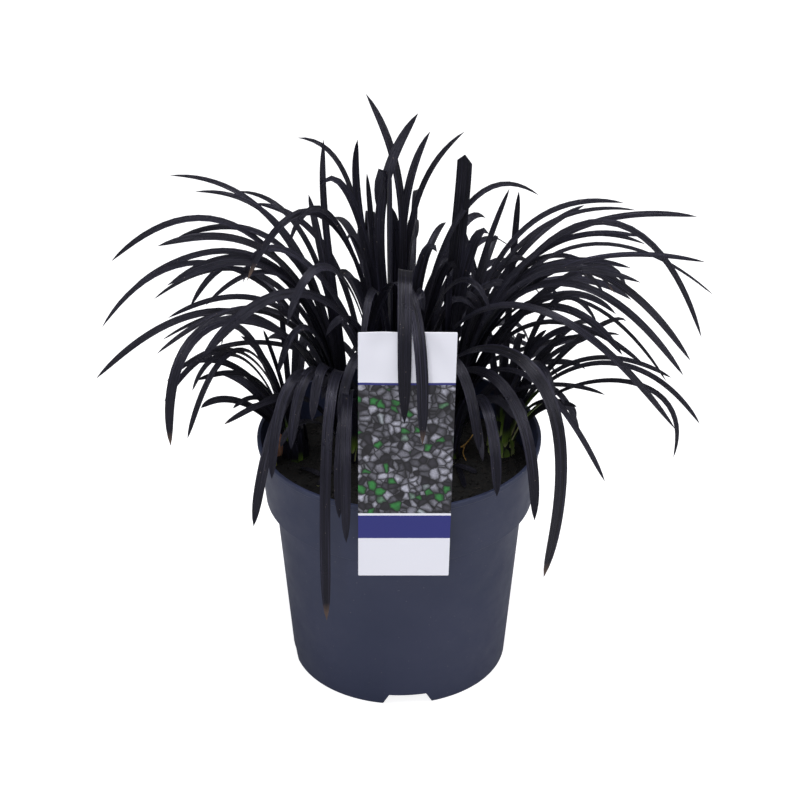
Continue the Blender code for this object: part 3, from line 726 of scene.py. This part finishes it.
def lump(draw, middle, size, stretch, points, faces):
    """Adds a rough lump with its own size and stretch at a place."""
    ball = bmesh.new()
    bmesh.ops.create_icosphere(ball, subdivisions=1, radius=1.0)
    spin = Matrix.Rotation(draw.uniform(0, 2 * math.pi), 3, "Z")
    turn = spin @ Matrix.Rotation(draw.uniform(-0.4, 0.4), 3, "X")
    start = len(points)
    for vertex in ball.verts:
        rough = vertex.co * draw.uniform(0.75, 1.15) * size
        rough = turn @ Vector((rough.x * stretch, rough.y, rough.z * 0.75))
        points.append(middle + rough)
    faces += [tuple(start + v.index for v in face.verts) for face in ball.faces]
    ball.free()


def make_soil():
    """The soil fills the pot: a crumbled surface with loose crumbs on it."""
    draw = random.Random(SEED + 1)
    inner_base = outer_radius(SOIL_BOTTOM) - WALL - GAP - 0.3
    inner_step = BODY_TOP_RADIUS - WALL - GAP - 0.3
    inner_top = outer_radius(SOIL_TOP) - WALL - GAP - 0.6
    rings = [(inner_top * i / SOIL_RINGS, SOIL_TOP) for i in range(SOIL_RINGS + 1)]
    side = [(COLLAR_BOTTOM_RADIUS - WALL - GAP - 0.6, COLLAR_BOTTOM + 2 * WALL),
            (inner_step, COLLAR_BOTTOM - WALL), (inner_base, SOIL_BOTTOM), (0.0, SOIL_BOTTOM)]
    points, faces = turned(rings + side, SOIL_STEPS)
    points = [(x, y, crumbled_height(x, y) if z > SOIL_TOP - 1 else z) for x, y, z in points]
    for _ in range(CRUMBS):
        angle = draw.uniform(0, 2 * math.pi)
        size = draw.uniform(*CRUMB_SIZE) * draw.random() ** 0.5
        out = (inner_top - 3) * draw.random() ** 0.5
        x = out * math.cos(angle)
        y = out * math.sin(angle)
        lump(draw, Vector((x, y, crumbled_height(x, y) + size * 0.2)), size, 1.0, points, faces)
    soil = mesh_object("soil_fine", points, faces, [soil_finish()])
    smooth(soil, 60)
    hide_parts("soil")
    return soil


def make_chips():
    """Bark chips and fibres lying on the soil."""
    draw = random.Random(SEED + 2)
    points = []
    faces = []
    for _ in range(CHIPS):
        angle = draw.uniform(0, 2 * math.pi)
        out = (outer_radius(SOIL_TOP) - 9) * draw.random() ** 0.5
        x = out * math.cos(angle)
        y = out * math.sin(angle)
        length = draw.uniform(*CHIP_LENGTH)
        thick = draw.uniform(0.35, 0.9)
        lump(draw, Vector((x, y, crumbled_height(x, y) + 0.4)), thick, length / 2 / thick, points, faces)
    chips = mesh_object("soil_chips", points, faces, [wood_finish("bark chip", SOIL_LIGHT)])
    return chips


def on_level(pixel, z):
    """Where the line of sight through a pixel of the photo meets a level, in millimetres."""
    right = (pixel[0] - PICTURE / 2) / FOCAL_PIXELS
    down = (pixel[1] - PICTURE / 2) / FOCAL_PIXELS
    ahead = Vector((0, math.cos(PITCH), -math.sin(PITCH)))
    up = Vector((0, math.sin(PITCH), math.cos(PITCH)))
    ray = ahead + Vector((right, 0, 0)) - up * down
    return EYE + ray * ((z - EYE.z) / ray.z)


def on_soil(pixel, above):
    """Where the line of sight through a pixel meets the soil, raised a little."""
    place = on_level(pixel, SOIL_TOP + SOIL_MOUND / 2)
    place.z = crumbled_height(place.x, place.y) + above
    return place


def tube(path, radius, sides, points, faces):
    """Adds a round stick along a path that thins towards its end."""
    start = len(points)
    for i, here in enumerate(path):
        ahead = (path[min(i + 1, len(path) - 1)] - path[max(i - 1, 0)]).normalized()
        side = ahead.cross(Vector((0, 0, 1))).normalized()
        up = side.cross(ahead)
        size = radius * (1 - 0.6 * i / (len(path) - 1))
        for k in range(sides):
            angle = 2 * math.pi * k / sides
            points.append(here + side * (math.cos(angle) * size) + up * (math.sin(angle) * size))
    for i in range(len(path) - 1):
        for k in range(sides):
            a = start + i * sides + k
            b = start + i * sides + (k + 1) % sides
            faces.append((a, b, b + sides, a + sides))
    faces.append(tuple(start + k for k in range(sides - 1, -1, -1)))
    faces.append(tuple(start + (len(path) - 1) * sides + k for k in range(sides)))


def smoothed(path, steps):
    """More points along a path, rounding its bends."""
    made = []
    for i in range(len(path) - 1):
        before = path[max(i - 1, 0)]
        after = path[min(i + 2, len(path) - 1)]
        for k in range(steps):
            t = k / steps
            a = path[i]
            b = path[i + 1]
            made.append(0.5 * (2 * a + (b - before) * t + (2 * before - 5 * a + 4 * b - after) * t * t
                               + (3 * a - before - 3 * b + after) * t * t * t))
    made.append(path[-1])
    return made


def make_twig():
    """A forked dry twig on the soil by the label."""
    points = []
    faces = []
    for pixels, radius in ((TWIG_PIXELS, TWIG_RADIUS), (TWIG_BRANCH_PIXELS, TWIG_RADIUS * 0.7)):
        path = [on_soil(pixel, 1.2 + i) for i, pixel in enumerate(pixels)]
        tube(smoothed(path, 6), radius, 8, points, faces)
    twig = mesh_object("soil_twig", points, faces, [wood_finish("dry twig", TWIG)])
    smooth(twig, 60)
    return twig


def card_depth(x, z):
    """How far the card's soft dents push it back."""
    depth = 0.0
    for cx, cz, radius, deep in DENTS:
        depth += deep * math.exp(-((x - cx) ** 2 + (z - cz) ** 2) / radius ** 2)
    return depth


def label_rows():
    """The heights of the card's rows: close together at its corners, and one at the end of each band."""
    rows = set()
    for i in range(5):
        inset = LABEL_CORNER * (1 - math.cos(math.pi / 2 * i / 4))
        rows.update((round(LABEL_BOTTOM + inset, 3), round(LABEL_TOP - inset, 3)))
    low = LABEL_BOTTOM + LABEL_CORNER
    for high, _ in BANDS[:-1] + ((LABEL_TOP - LABEL_CORNER, ""),):
        steps = max(1, round((high - low) / LABEL_ROW))
        rows.update(round(low + (high - low) * i / steps, 3) for i in range(steps + 1))
        low = high
    return sorted(rows)


def label_edge(side, z):
    """The x of the card's left or right edge, -1 or 1, at a height: it narrows and leans a little."""
    share = (z - LABEL_BOTTOM) / (LABEL_TOP - LABEL_BOTTOM)
    width = LABEL_FOOT_WIDTH + share * (LABEL_WIDTH - LABEL_FOOT_WIDTH)
    inset = max(0.0, LABEL_CORNER - min(z - LABEL_BOTTOM, LABEL_TOP - z))
    rounding = LABEL_CORNER - math.sqrt(max(0.0, LABEL_CORNER ** 2 - inset ** 2))
    return LABEL_CENTRE_X + (share - 0.5) * LABEL_LEAN + side * (width / 2 - rounding)


def band_at(z):
    """The print on the card's front at a height."""
    for high, band in BANDS:
        if z < high:
            return band
    return "card"


def make_label():
    """A thin printed card in front of the pot, with a plain back and a tongue over the rim."""
    order = ("card", "blue", "picture")
    rows = label_rows()
    points = []
    faces = []
    prints = []
    across = LABEL_COLUMNS + 1
    for y in (LABEL_FRONT, LABEL_BACK):
        for z in rows:
            for k in range(across):
                share = k / LABEL_COLUMNS
                x = (1 - share) * label_edge(-1, z) + share * label_edge(1, z)
                points.append((x, y + card_depth(x, z), z))
    back = len(rows) * across
    for r in range(len(rows) - 1):
        band = order.index(band_at((rows[r] + rows[r + 1]) / 2))
        for k in range(LABEL_COLUMNS):
            a = r * across + k
            faces.append((a, a + 1, a + across + 1, a + across))
            faces.append((back + a, back + a + across, back + a + across + 1, back + a + 1))
            prints += [band, 0]
    rim = [k for k in range(across)]
    rim += [r * across + LABEL_COLUMNS for r in range(1, len(rows))]
    rim += [(len(rows) - 1) * across + k for k in range(LABEL_COLUMNS - 1, -1, -1)]
    rim += [r * across for r in range(len(rows) - 2, 0, -1)]
    for a, b in zip(rim, rim[1:] + rim[:1]):
        faces.append((a, back + a, back + b, b))
        prints.append(0)
    add_tongue(points, faces, prints)
    label = mesh_object("label_fine", points, faces,
                        [card_finish(), blue_finish(), picture_finish()], prints)
    smooth(label, 40)
    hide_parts("label")
    return label


def add_tongue(points, faces, prints):
    """The strip behind the card that hooks over the rim."""
    over = POT_HEIGHT + TONGUE_RISE + TONGUE_THICK / 2
    inside = TONGUE_INSIDE + TONGUE_THICK / 2
    corners = [(LABEL_BACK - 0.1, over), (inside, over), (inside, TONGUE_END)]
    path = rounded(corners, TONGUE_BEND, 8)
    start = len(points)
    for i, (y, z) in enumerate(path):
        ahead = Vector(path[min(i + 1, len(path) - 1)]) - Vector(path[max(i - 1, 0)])
        ahead.normalize()
        off = Vector((-ahead.y, ahead.x)) * TONGUE_THICK / 2
        for x in (-TONGUE_WIDTH / 2, TONGUE_WIDTH / 2):
            points.append((LABEL_CENTRE_X + x, y + off.x, z + off.y))
            points.append((LABEL_CENTRE_X + x, y - off.x, z - off.y))
    for i in range(len(path) - 1):
        a = start + 4 * i
        b = a + 4
        faces += [(a, b, b + 2, a + 2), (a + 1, a + 3, b + 3, b + 1)]
        faces += [(a, a + 1, b + 1, b), (a + 2, b + 2, b + 3, a + 3)]
        prints += [0, 0, 0, 0]
    end = start + 4 * (len(path) - 1)
    faces += [(start, start + 2, start + 3, start + 1), (end, end + 1, end + 3, end + 2)]
    prints += [0, 0]


def cubic(t):
    """The weights of a cubic curve's four control points."""
    u = 1 - t
    return u ** 3, 3 * u * u * t, 3 * u * t * t, t ** 3


def spaced(curve, count):
    """Points along a curve, a little closer together towards its end."""
    lengths = [0.0]
    for a, b in zip(curve, curve[1:]):
        lengths.append(lengths[-1] + (b - a).length)
    points = []
    k = 1
    for i in range(count + 1):
        wanted = lengths[-1] * (i / count) ** CLOSER_TO_TIP
        while k < len(curve) - 1 and lengths[k] < wanted:
            k += 1
        share = (wanted - lengths[k - 1]) / max(lengths[k] - lengths[k - 1], 1e-9)
        points.append(curve[k - 1].lerp(curve[k], min(share, 1.0)))
    return points


def spine(root, tip, arch, bend, count):
    """Points along a leaf that leaves its crown steeply, arches over and ends at its tip."""
    w0, w1, w2, w3 = cubic(ARCH_AT)
    high = arch - (w0 + w1 * (1 - RISE_AT_ROOT)) * root.z - w3 * tip.z
    high /= w1 * RISE_AT_ROOT + w2
    first = root.lerp(tip, min(LEAN_SHARE, LEAN_AT_ROOT / ((tip - root).length + 1)))
    first.z = root.z + RISE_AT_ROOT * (high - root.z)
    second = root.lerp(tip, bend)
    second.z = high
    curve = []
    for i in range(CURVE_POINTS + 1):
        w0, w1, w2, w3 = cubic(i / CURVE_POINTS)
        curve.append(w0 * root + w1 * first + w2 * second + w3 * tip)
    return spaced(curve, count)


def width_at(share, width):
    """A leaf's width at a share of its length, from its widest; the broadest straps end bluntly."""
    if share < WIDEST_AT:
        return width * (1.0 - ROOT_NARROWING * (1 - share / WIDEST_AT))
    taper = BLUNT_TAPER if width > BLUNT_WIDTH else TAPER
    return width * max(0.0, 1.0 - ((share - WIDEST_AT) / (1 - WIDEST_AT)) ** taper)


def side_of(points):
    """The level direction across a leaf."""
    flat = (points[-1] - points[0]).cross(Vector((0, 0, 1)))
    return flat.normalized() if flat.length > 1e-6 else Vector((1, 0, 0))


def roll_to_front(points, side):
    """How far a leaf rolls about its length to show its face to the front."""
    middle = len(points) // 2
    along = (points[middle + 1] - points[middle - 1]).normalized()
    up = side.cross(along).normalized()
    wanted = FACING - along * FACING.dot(along)
    angle = math.atan2(along.dot(up.cross(wanted)), up.dot(wanted))
    return max(-MOST_ROLL, min(MOST_ROLL, ROLL_SHARE * angle))


def blunted(points, width):
    """The same points, with the last but one close to the tip where the strap ends bluntly."""
    if width <= BLUNT_WIDTH:
        return points
    return points[:-2] + [points[-1].lerp(points[-2], BLUNT_END), points[-1]]


def blade(points, width, twist, grow=0.0):
    """Points and faces of the CAD's three-sided blade, for testing what a leaf would cross."""
    side = side_of(points)
    roll = roll_to_front(points, side)
    rings = []
    last = len(points) - 1
    points = blunted(points, width)
    for i in range(last):
        share = (i / last) ** CLOSER_TO_TIP
        along = (points[i + 1] - points[max(0, i - 1)]).normalized()
        across = (side - along * side.dot(along)).normalized()
        across = Matrix.Rotation(roll + twist * share, 3, along) @ across
        up = across.cross(along)
        half = width_at(share, width) / 2 + grow
        keel = LEAF_KEEL + share * (TIP_KEEL - LEAF_KEEL) + grow
        rings += [points[i] - across * half + up * grow, points[i] + across * half + up * grow]
        rings += [points[i] - up * keel]
    tip = len(rings)
    verts = rings + [points[-1]]
    faces = [(2, 1, 0)]
    for i in range(last - 1):
        for k in range(3):
            a = 3 * i + k
            b = 3 * i + (k + 1) % 3
            faces += [(a, b + 3, a + 3), (a, b, b + 3)]
    end = 3 * (last - 1)
    faces += [(end + k, end + (k + 1) % 3, tip) for k in range(3)]
    return verts, faces


def clear_of_things(points, width):
    """Whether a leaf stays off the pot, the soil and the label."""
    reach = width / 2 + 1.5
    for i, p in enumerate(points):
        out = math.hypot(p.x, p.y)
        if i > len(points) * 0.2 and p.z < SOIL_TOP + 8 and out < RIM_RADIUS:
            return False
        if p.z < 8:
            return False
        wall = outer_radius(p.z)
        if p.z < POT_HEIGHT + 3.5 and wall - LIP - 0.6 * reach < out < wall + reach:
            return False
        beside_label = abs(p.x - LABEL_CENTRE_X) < LABEL_WIDTH / 2 + reach
        if beside_label and p.z < LABEL_TOP + 2 and LABEL_FRONT - 2.2 < p.y < LABEL_BACK + 2.2:
            return False
        if beside_label and p.z < POT_HEIGHT + 8 and p.y < TONGUE_INSIDE + 6:
            return False
    return True


class Clump:
    """Keeps the leaves placed so far, and bends new ones clear of those of other tufts."""

    def __init__(self):
        self.leaves = []
        self.trees = {}
        self.shapes = {name: ([], []) for name in CROWNS}

    def crosses(self, node, verts, faces):
        tree = BVHTree.FromPolygons(verts, faces)
        return any(other != node and tree.overlap(self.trees[other]) for other in self.trees)

    def place(self, fan, root, tip, arch, bend, width, twist, segments, dry=False):
        node = FANS[fan][0]
        for slide in SLIDES:
            moved = tip + Vector((0, slide, -SIGHT_FALL * slide))
            level = arch - SIGHT_FALL * slide * 0.5
            points = spine(root, moved, level, bend, segments)
            if not clear_of_things(spine(root, moved, level, bend, TEST_POINTS), width):
                continue
            if self.crosses(node, *blade(points, width, twist, CLEARANCE)):
                continue
            self.keep(node, points, width, twist)
            fine = spine(root, moved, level, bend, FINE_SEGMENTS)
            self.leaves.append((node, fine, roll_to_front(points, side_of(points)), width, twist, dry))
            return True
        return False

    def keep(self, node, points, width, twist):
        verts, faces = self.shapes[node]
        more, added = blade(points, width, twist)
        faces += [tuple(len(verts) + i for i in face) for face in added]
        verts += more
        self.trees[node] = BVHTree.FromPolygons(verts, faces)


def root_of(fan, heading, draw):
    """A place inside the crown for a leaf of this fan, on the side that it grows towards."""
    node, x, y, dx, dy = FANS[fan]
    angle = heading + draw.uniform(-ROOT_STRAY, ROOT_STRAY)
    size = math.sqrt(draw.random())
    return Vector((x + dx * size * math.cos(angle), y + dy * size * math.sin(angle), ROOT_Z))


def heading_to(fan, x, y):
    """The direction from the middle of a fan to a leaf's tip."""
    return math.atan2(y - FANS[fan][2], x - FANS[fan][1])


def grow_clump():
    """Every leaf of the plant, those that show first and then the ones that fill it."""
    draw = random.Random(SEED)
    clump = Clump()
    for fan, x, y, z, arch, bend, width in LEAVES:
        twist = draw.uniform(-MOST_TWIST, MOST_TWIST)
        root = root_of(fan, heading_to(fan, x, y), draw)
        is_dry = (x, y) in DRY_LEAVES
        clump.place(fan, root, Vector((x, y, z)), arch, bend, width, twist, LEAF_SEGMENTS, is_dry)
    for fan, count, heading, spread, near, far, low, high in FILLERS:
        for _ in range(count):
            for _ in range(FILLER_TRIES):
                angle = math.radians(heading + draw.uniform(-spread, spread))
                root = root_of(fan, angle, draw)
                reach = draw.uniform(near, far)
                rise = draw.uniform(low, high)
                drop = draw.uniform(-0.1, 0.9) * reach * 0.6
                tip = root + Vector((reach * math.cos(angle), reach * math.sin(angle), rise - drop))
                arch = root.z + rise * draw.uniform(0.85, 1.0)
                width = draw.uniform(*FILLER_WIDTH)
                twist = draw.uniform(-MOST_TWIST, MOST_TWIST)
                if clump.place(fan, root, tip, arch, draw.uniform(0.55, 0.95), width, twist, FILLER_SEGMENTS):
                    break
    return clump.leaves


def within(point, box):
    """The point, brought inside the part's outer box if a fine tip would stand proud of it."""
    low, high = box
    return Vector(max(low[i] / MM + BOX_MARGIN, min(high[i] / MM - BOX_MARGIN, point[i])) for i in range(3))


class Foliage:
    """Gathers fine blades, with the marks along and across each that its finish uses."""

    marks = ("along", "across", "tint", "pale", "dry")

    def __init__(self):
        self.points = []
        self.faces = []
        self.values = {name: [] for name in self.marks}

    def vertex(self, place, along, across, tint, pale, dry):
        self.points.append(place)
        for name, value in zip(self.marks, (along, across, tint, pale, dry)):
            self.values[name].append(value)

    def blade(self, points, side, roll, width, twist, tint, pale, dry):
        """A long strap, channelled above and keeled below, drawn to a point."""
        start = len(self.points)
        last = len(points) - 1
        columns = [k / HALF_COLUMNS for k in range(-HALF_COLUMNS, HALF_COLUMNS + 1)]
        for i in range(last):
            share = (i / last) ** CLOSER_TO_TIP
            along = (points[i + 1] - points[max(0, i - 1)]).normalized()
            across = (side - along * side.dot(along)).normalized()
            across = Matrix.Rotation(roll + twist * share, 3, along) @ across
            up = across.cross(along)
            half = width_at(share, width) / 2
            keel = min(LEAF_KEEL + share * (TIP_KEEL - LEAF_KEEL), half)
            for u in columns:
                dip = CHANNEL * keel * (1 - u * u)
                self.vertex(points[i] + across * half * u - up * dip, share, u, tint, pale, dry)
            for u in reversed(columns[1:-1]):
                dip = keel * (1 - abs(u) ** 1.5)
                self.vertex(points[i] + across * half * u - up * dip, share, u, tint, pale, dry)
        self.vertex(points[-1], 1.0, 0.0, tint, pale, dry)
        around = 4 * HALF_COLUMNS
        self.faces.append(tuple(start + k for k in range(around - 1, -1, -1)))
        for i in range(last - 1):
            for k in range(around):
                a = start + around * i + k
                b = start + around * i + (k + 1) % around
                self.faces.append((a, b, b + around, a + around))
        end = start + around * (last - 1)
        self.faces += [(end + k, end + (k + 1) % around, len(self.points) - 1) for k in range(around)]

    def build(self, name, finish, box):
        made = mesh_object(name, [within(point, box) for point in self.points], self.faces, [finish])
        for mark, values in self.values.items():
            layer = made.data.attributes.new(mark, "FLOAT", "POINT")
            layer.data.foreach_set("value", values)
        smooth(made, 50)
        return made


def add_core(foliage, crown):
    """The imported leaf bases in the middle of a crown."""
    x, y, rx, ry, top, _ = crown
    sides = 28
    start = len(foliage.points)
    for z, size in ((CROWN_BOTTOM, 0.97), (top - 2, CROWN_SHRINK * 0.95)):
        for i in range(sides):
            a = 2 * math.pi * i / sides
            place = Vector((x + rx * size * math.cos(a), y + ry * size * math.sin(a), z))
            foliage.vertex(place, 0.5, 0, 0, 0.1, 0)
    foliage.faces.append(tuple(start + i for i in range(sides - 1, -1, -1)))
    foliage.faces.append(tuple(start + sides + i for i in range(sides)))
    for i in range(sides):
        j = (i + 1) % sides
        foliage.faces.append((start + i, start + j, start + sides + j, start + sides + i))


def add_sheaths(foliage, node, draw):
    """Short leaf bases that wrap a crown."""
    count, thin, broad, pale = SHEATHS[node]
    x, y, rx, ry, top, _ = CROWNS[node]
    for i in range(count):
        a = 2 * math.pi * (i + draw.uniform(-0.3, 0.3)) / count
        out = Vector((math.cos(a), math.sin(a), 0))
        inward = draw.uniform(CROWN_SHRINK, CROWN_SHRINK + 0.22)
        foot = Vector((x + rx * out.x, y + ry * out.y, CROWN_BOTTOM + 4))
        tip = Vector((x + rx * inward * out.x, y + ry * inward * out.y, top - draw.uniform(-6, 22)))
        bow = out * draw.uniform(0.5, 2.0)
        points = []
        for k in range(SHEATH_SEGMENTS + 1):
            t = k / SHEATH_SEGMENTS
            points.append(foot.lerp(tip, t) + bow * math.sin(math.pi * t))
        side = Vector((0, 0, 1)).cross(out).normalized()
        width = draw.uniform(thin, broad)
        foliage.blade(points, side, 0.0, width, draw.uniform(-0.2, 0.2), draw.random(), pale, 0.0)


def make_tufts(box):
    """The four tufts, each one piece of fine blades."""
    leaves = grow_clump()
    finish = leaf_finish()
    draw = random.Random(SEED + 3)
    for node in CROWNS:
        foliage = Foliage()
        add_core(foliage, CROWNS[node])
        add_sheaths(foliage, node, draw)
        for owner, points, roll, width, twist, is_dry in leaves:
            if owner == node:
                dry = draw.uniform(0.5, 1.0) if is_dry or draw.random() < DRY_TIPS else 0.0
                pale = PALE_BASE[node] * draw.uniform(0.6, 1.3)
                foliage.blade(points, side_of(points), roll, width, twist, draw.random(), pale, dry)
        tuft = foliage.build(node + "_fine", finish, box)
        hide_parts(node)
        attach(tuft, "root")


def make_scraps(box):
    """Dead leaf scraps on the soil."""
    foliage = Foliage()
    draw = random.Random(SEED + 4)
    for start, end, width in SCRAP_PIXELS:
        a = on_soil(start, 1.0)
        b = on_soil(end, 1.4)
        points = [a.lerp(b, i / 10) + Vector((0, 0, 1.2 * math.sin(math.pi * i / 10))) for i in range(11)]
        foliage.blade(points, side_of(points), draw.uniform(-0.3, 0.3), width, 0.3, draw.random(), 0.01, 0.0)
    scraps = foliage.build("soil_scraps", leaf_finish(), box)
    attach(scraps, "root")


def make_shoots(box):
    """A brown dry sheath and a green sprout beside the left tuft."""
    for name, pixels, rise, width, colour in (
        ("dry_sheath", DRY_SHEATH_PIXELS, 19.0, 4.0, SHEATH_BROWN),
        ("sprout", SPROUT_PIXELS, 6.0, 2.6, SPROUT),
    ):
        foot = on_soil(pixels, -1.5)
        foliage = Foliage()
        points = [foot + Vector((-0.06 * i, -0.1 * i, rise * i / 8)) for i in range(9)]
        foliage.blade(points, Vector((1, 0, 0)), 0.0, width, 0.5, 0.5, 0.01, 0.0)
        shoot = foliage.build(name, wood_finish(name.replace("_", " "), colour), box)
        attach(shoot, "root")


def make_floor():
    """A white floor that shows only a faint shadow."""
    shader = Shader("white floor", 0.9)
    shader.colour(FLOOR_GREY)
    shader.feed(shader.surface.inputs["Emission Color"], (1.0, 1.0, 1.0))
    path = shader.node("ShaderNodeLightPath")
    glow = shader.sum("MULTIPLY", path.outputs["Is Camera Ray"], FLOOR_GLOW)
    shader.feed(shader.surface.inputs["Emission Strength"], glow)
    half = FLOOR_HALF
    mesh = bpy.data.meshes.new("floor")
    corners = [(-half, -half, 0), (half, -half, 0), (half, half, 0), (-half, half, 0)]
    mesh.from_pydata(corners, [], [(0, 1, 2, 3)])
    mesh.materials.append(shader.material)
    floor = bpy.data.objects.new("floor", mesh)
    floor.location.z = -FLOOR_DROP
    bpy.context.scene.collection.objects.link(floor)


def make_light(name, place, aim, size, power, tint):
    """A soft box that faces a point."""
    data = bpy.data.lights.new(name, "AREA")
    data.shape = "RECTANGLE"
    data.size = size[0]
    data.size_y = size[1]
    data.energy = power
    data.color = tint
    light = bpy.data.objects.new(name, data)
    light.location = place
    light.rotation_euler = (Vector(aim) - Vector(place)).to_track_quat("-Z", "Y").to_euler()
    bpy.context.scene.collection.objects.link(light)


def make_lights():
    """Soft boxes at both sides and above, with an even white surround."""
    middle = (0.0, 0.0, 0.16)
    make_light("left box", (-1.3, -0.5, 0.9), middle, (0.6, 1.2), 7, (0.97, 0.98, 1.0))
    make_light("right box", (1.4, -0.2, 0.8), middle, (0.6, 1.2), 11, (0.98, 0.98, 1.0))
    make_light("top box", (0.1, -0.1, 1.7), middle, (0.8, 0.6), 16, (1.0, 1.0, 1.0))
    make_light("front box", (-0.2, -1.9, 0.9), middle, (1.0, 1.0), 15, (0.97, 0.98, 1.0))
    world = bpy.data.worlds.new("white surround")
    world.use_nodes = True
    tree = world.node_tree
    background = tree.nodes["Background"]
    path = tree.nodes.new("ShaderNodeLightPath")
    strength = tree.nodes.new("ShaderNodeMapRange")
    strength.inputs["To Min"].default_value = SURROUND
    strength.inputs["To Max"].default_value = 1.05
    tree.links.new(path.outputs["Is Camera Ray"], strength.inputs["Value"])
    tree.links.new(strength.outputs["Result"], background.inputs["Strength"])
    background.inputs["Color"].default_value = (1.0, 1.0, 1.0, 1.0)
    bpy.context.scene.world = world


def make_camera():
    """The camera that the photo was taken with."""
    data = bpy.data.cameras.new("camera")
    data.sensor_width = SENSOR
    data.lens = SENSOR * FOCAL_PIXELS / PICTURE
    data.clip_start = 0.05
    data.clip_end = 30.0
    camera = bpy.data.objects.new("camera", data)
    camera.location = EYE * MM
    camera.rotation_euler = (math.pi / 2 - PITCH, 0.0, 0.0)
    bpy.context.scene.collection.objects.link(camera)
    bpy.context.scene.camera = camera


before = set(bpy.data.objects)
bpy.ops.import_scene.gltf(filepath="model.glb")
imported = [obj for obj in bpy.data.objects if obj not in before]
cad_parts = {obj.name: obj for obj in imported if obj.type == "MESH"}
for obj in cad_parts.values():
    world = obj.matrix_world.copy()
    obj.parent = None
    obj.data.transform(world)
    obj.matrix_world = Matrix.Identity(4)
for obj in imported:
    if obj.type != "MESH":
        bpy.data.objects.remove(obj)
cad_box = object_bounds()
for piece in (make_pot(), make_soil(), make_chips(), make_twig(), make_label()):
    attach(piece, "root")
make_tufts(cad_box)
make_scraps(cad_box)
make_shoots(cad_box)
make_floor()
make_lights()
make_camera()
bpy.context.scene.view_settings.view_transform = "Standard"
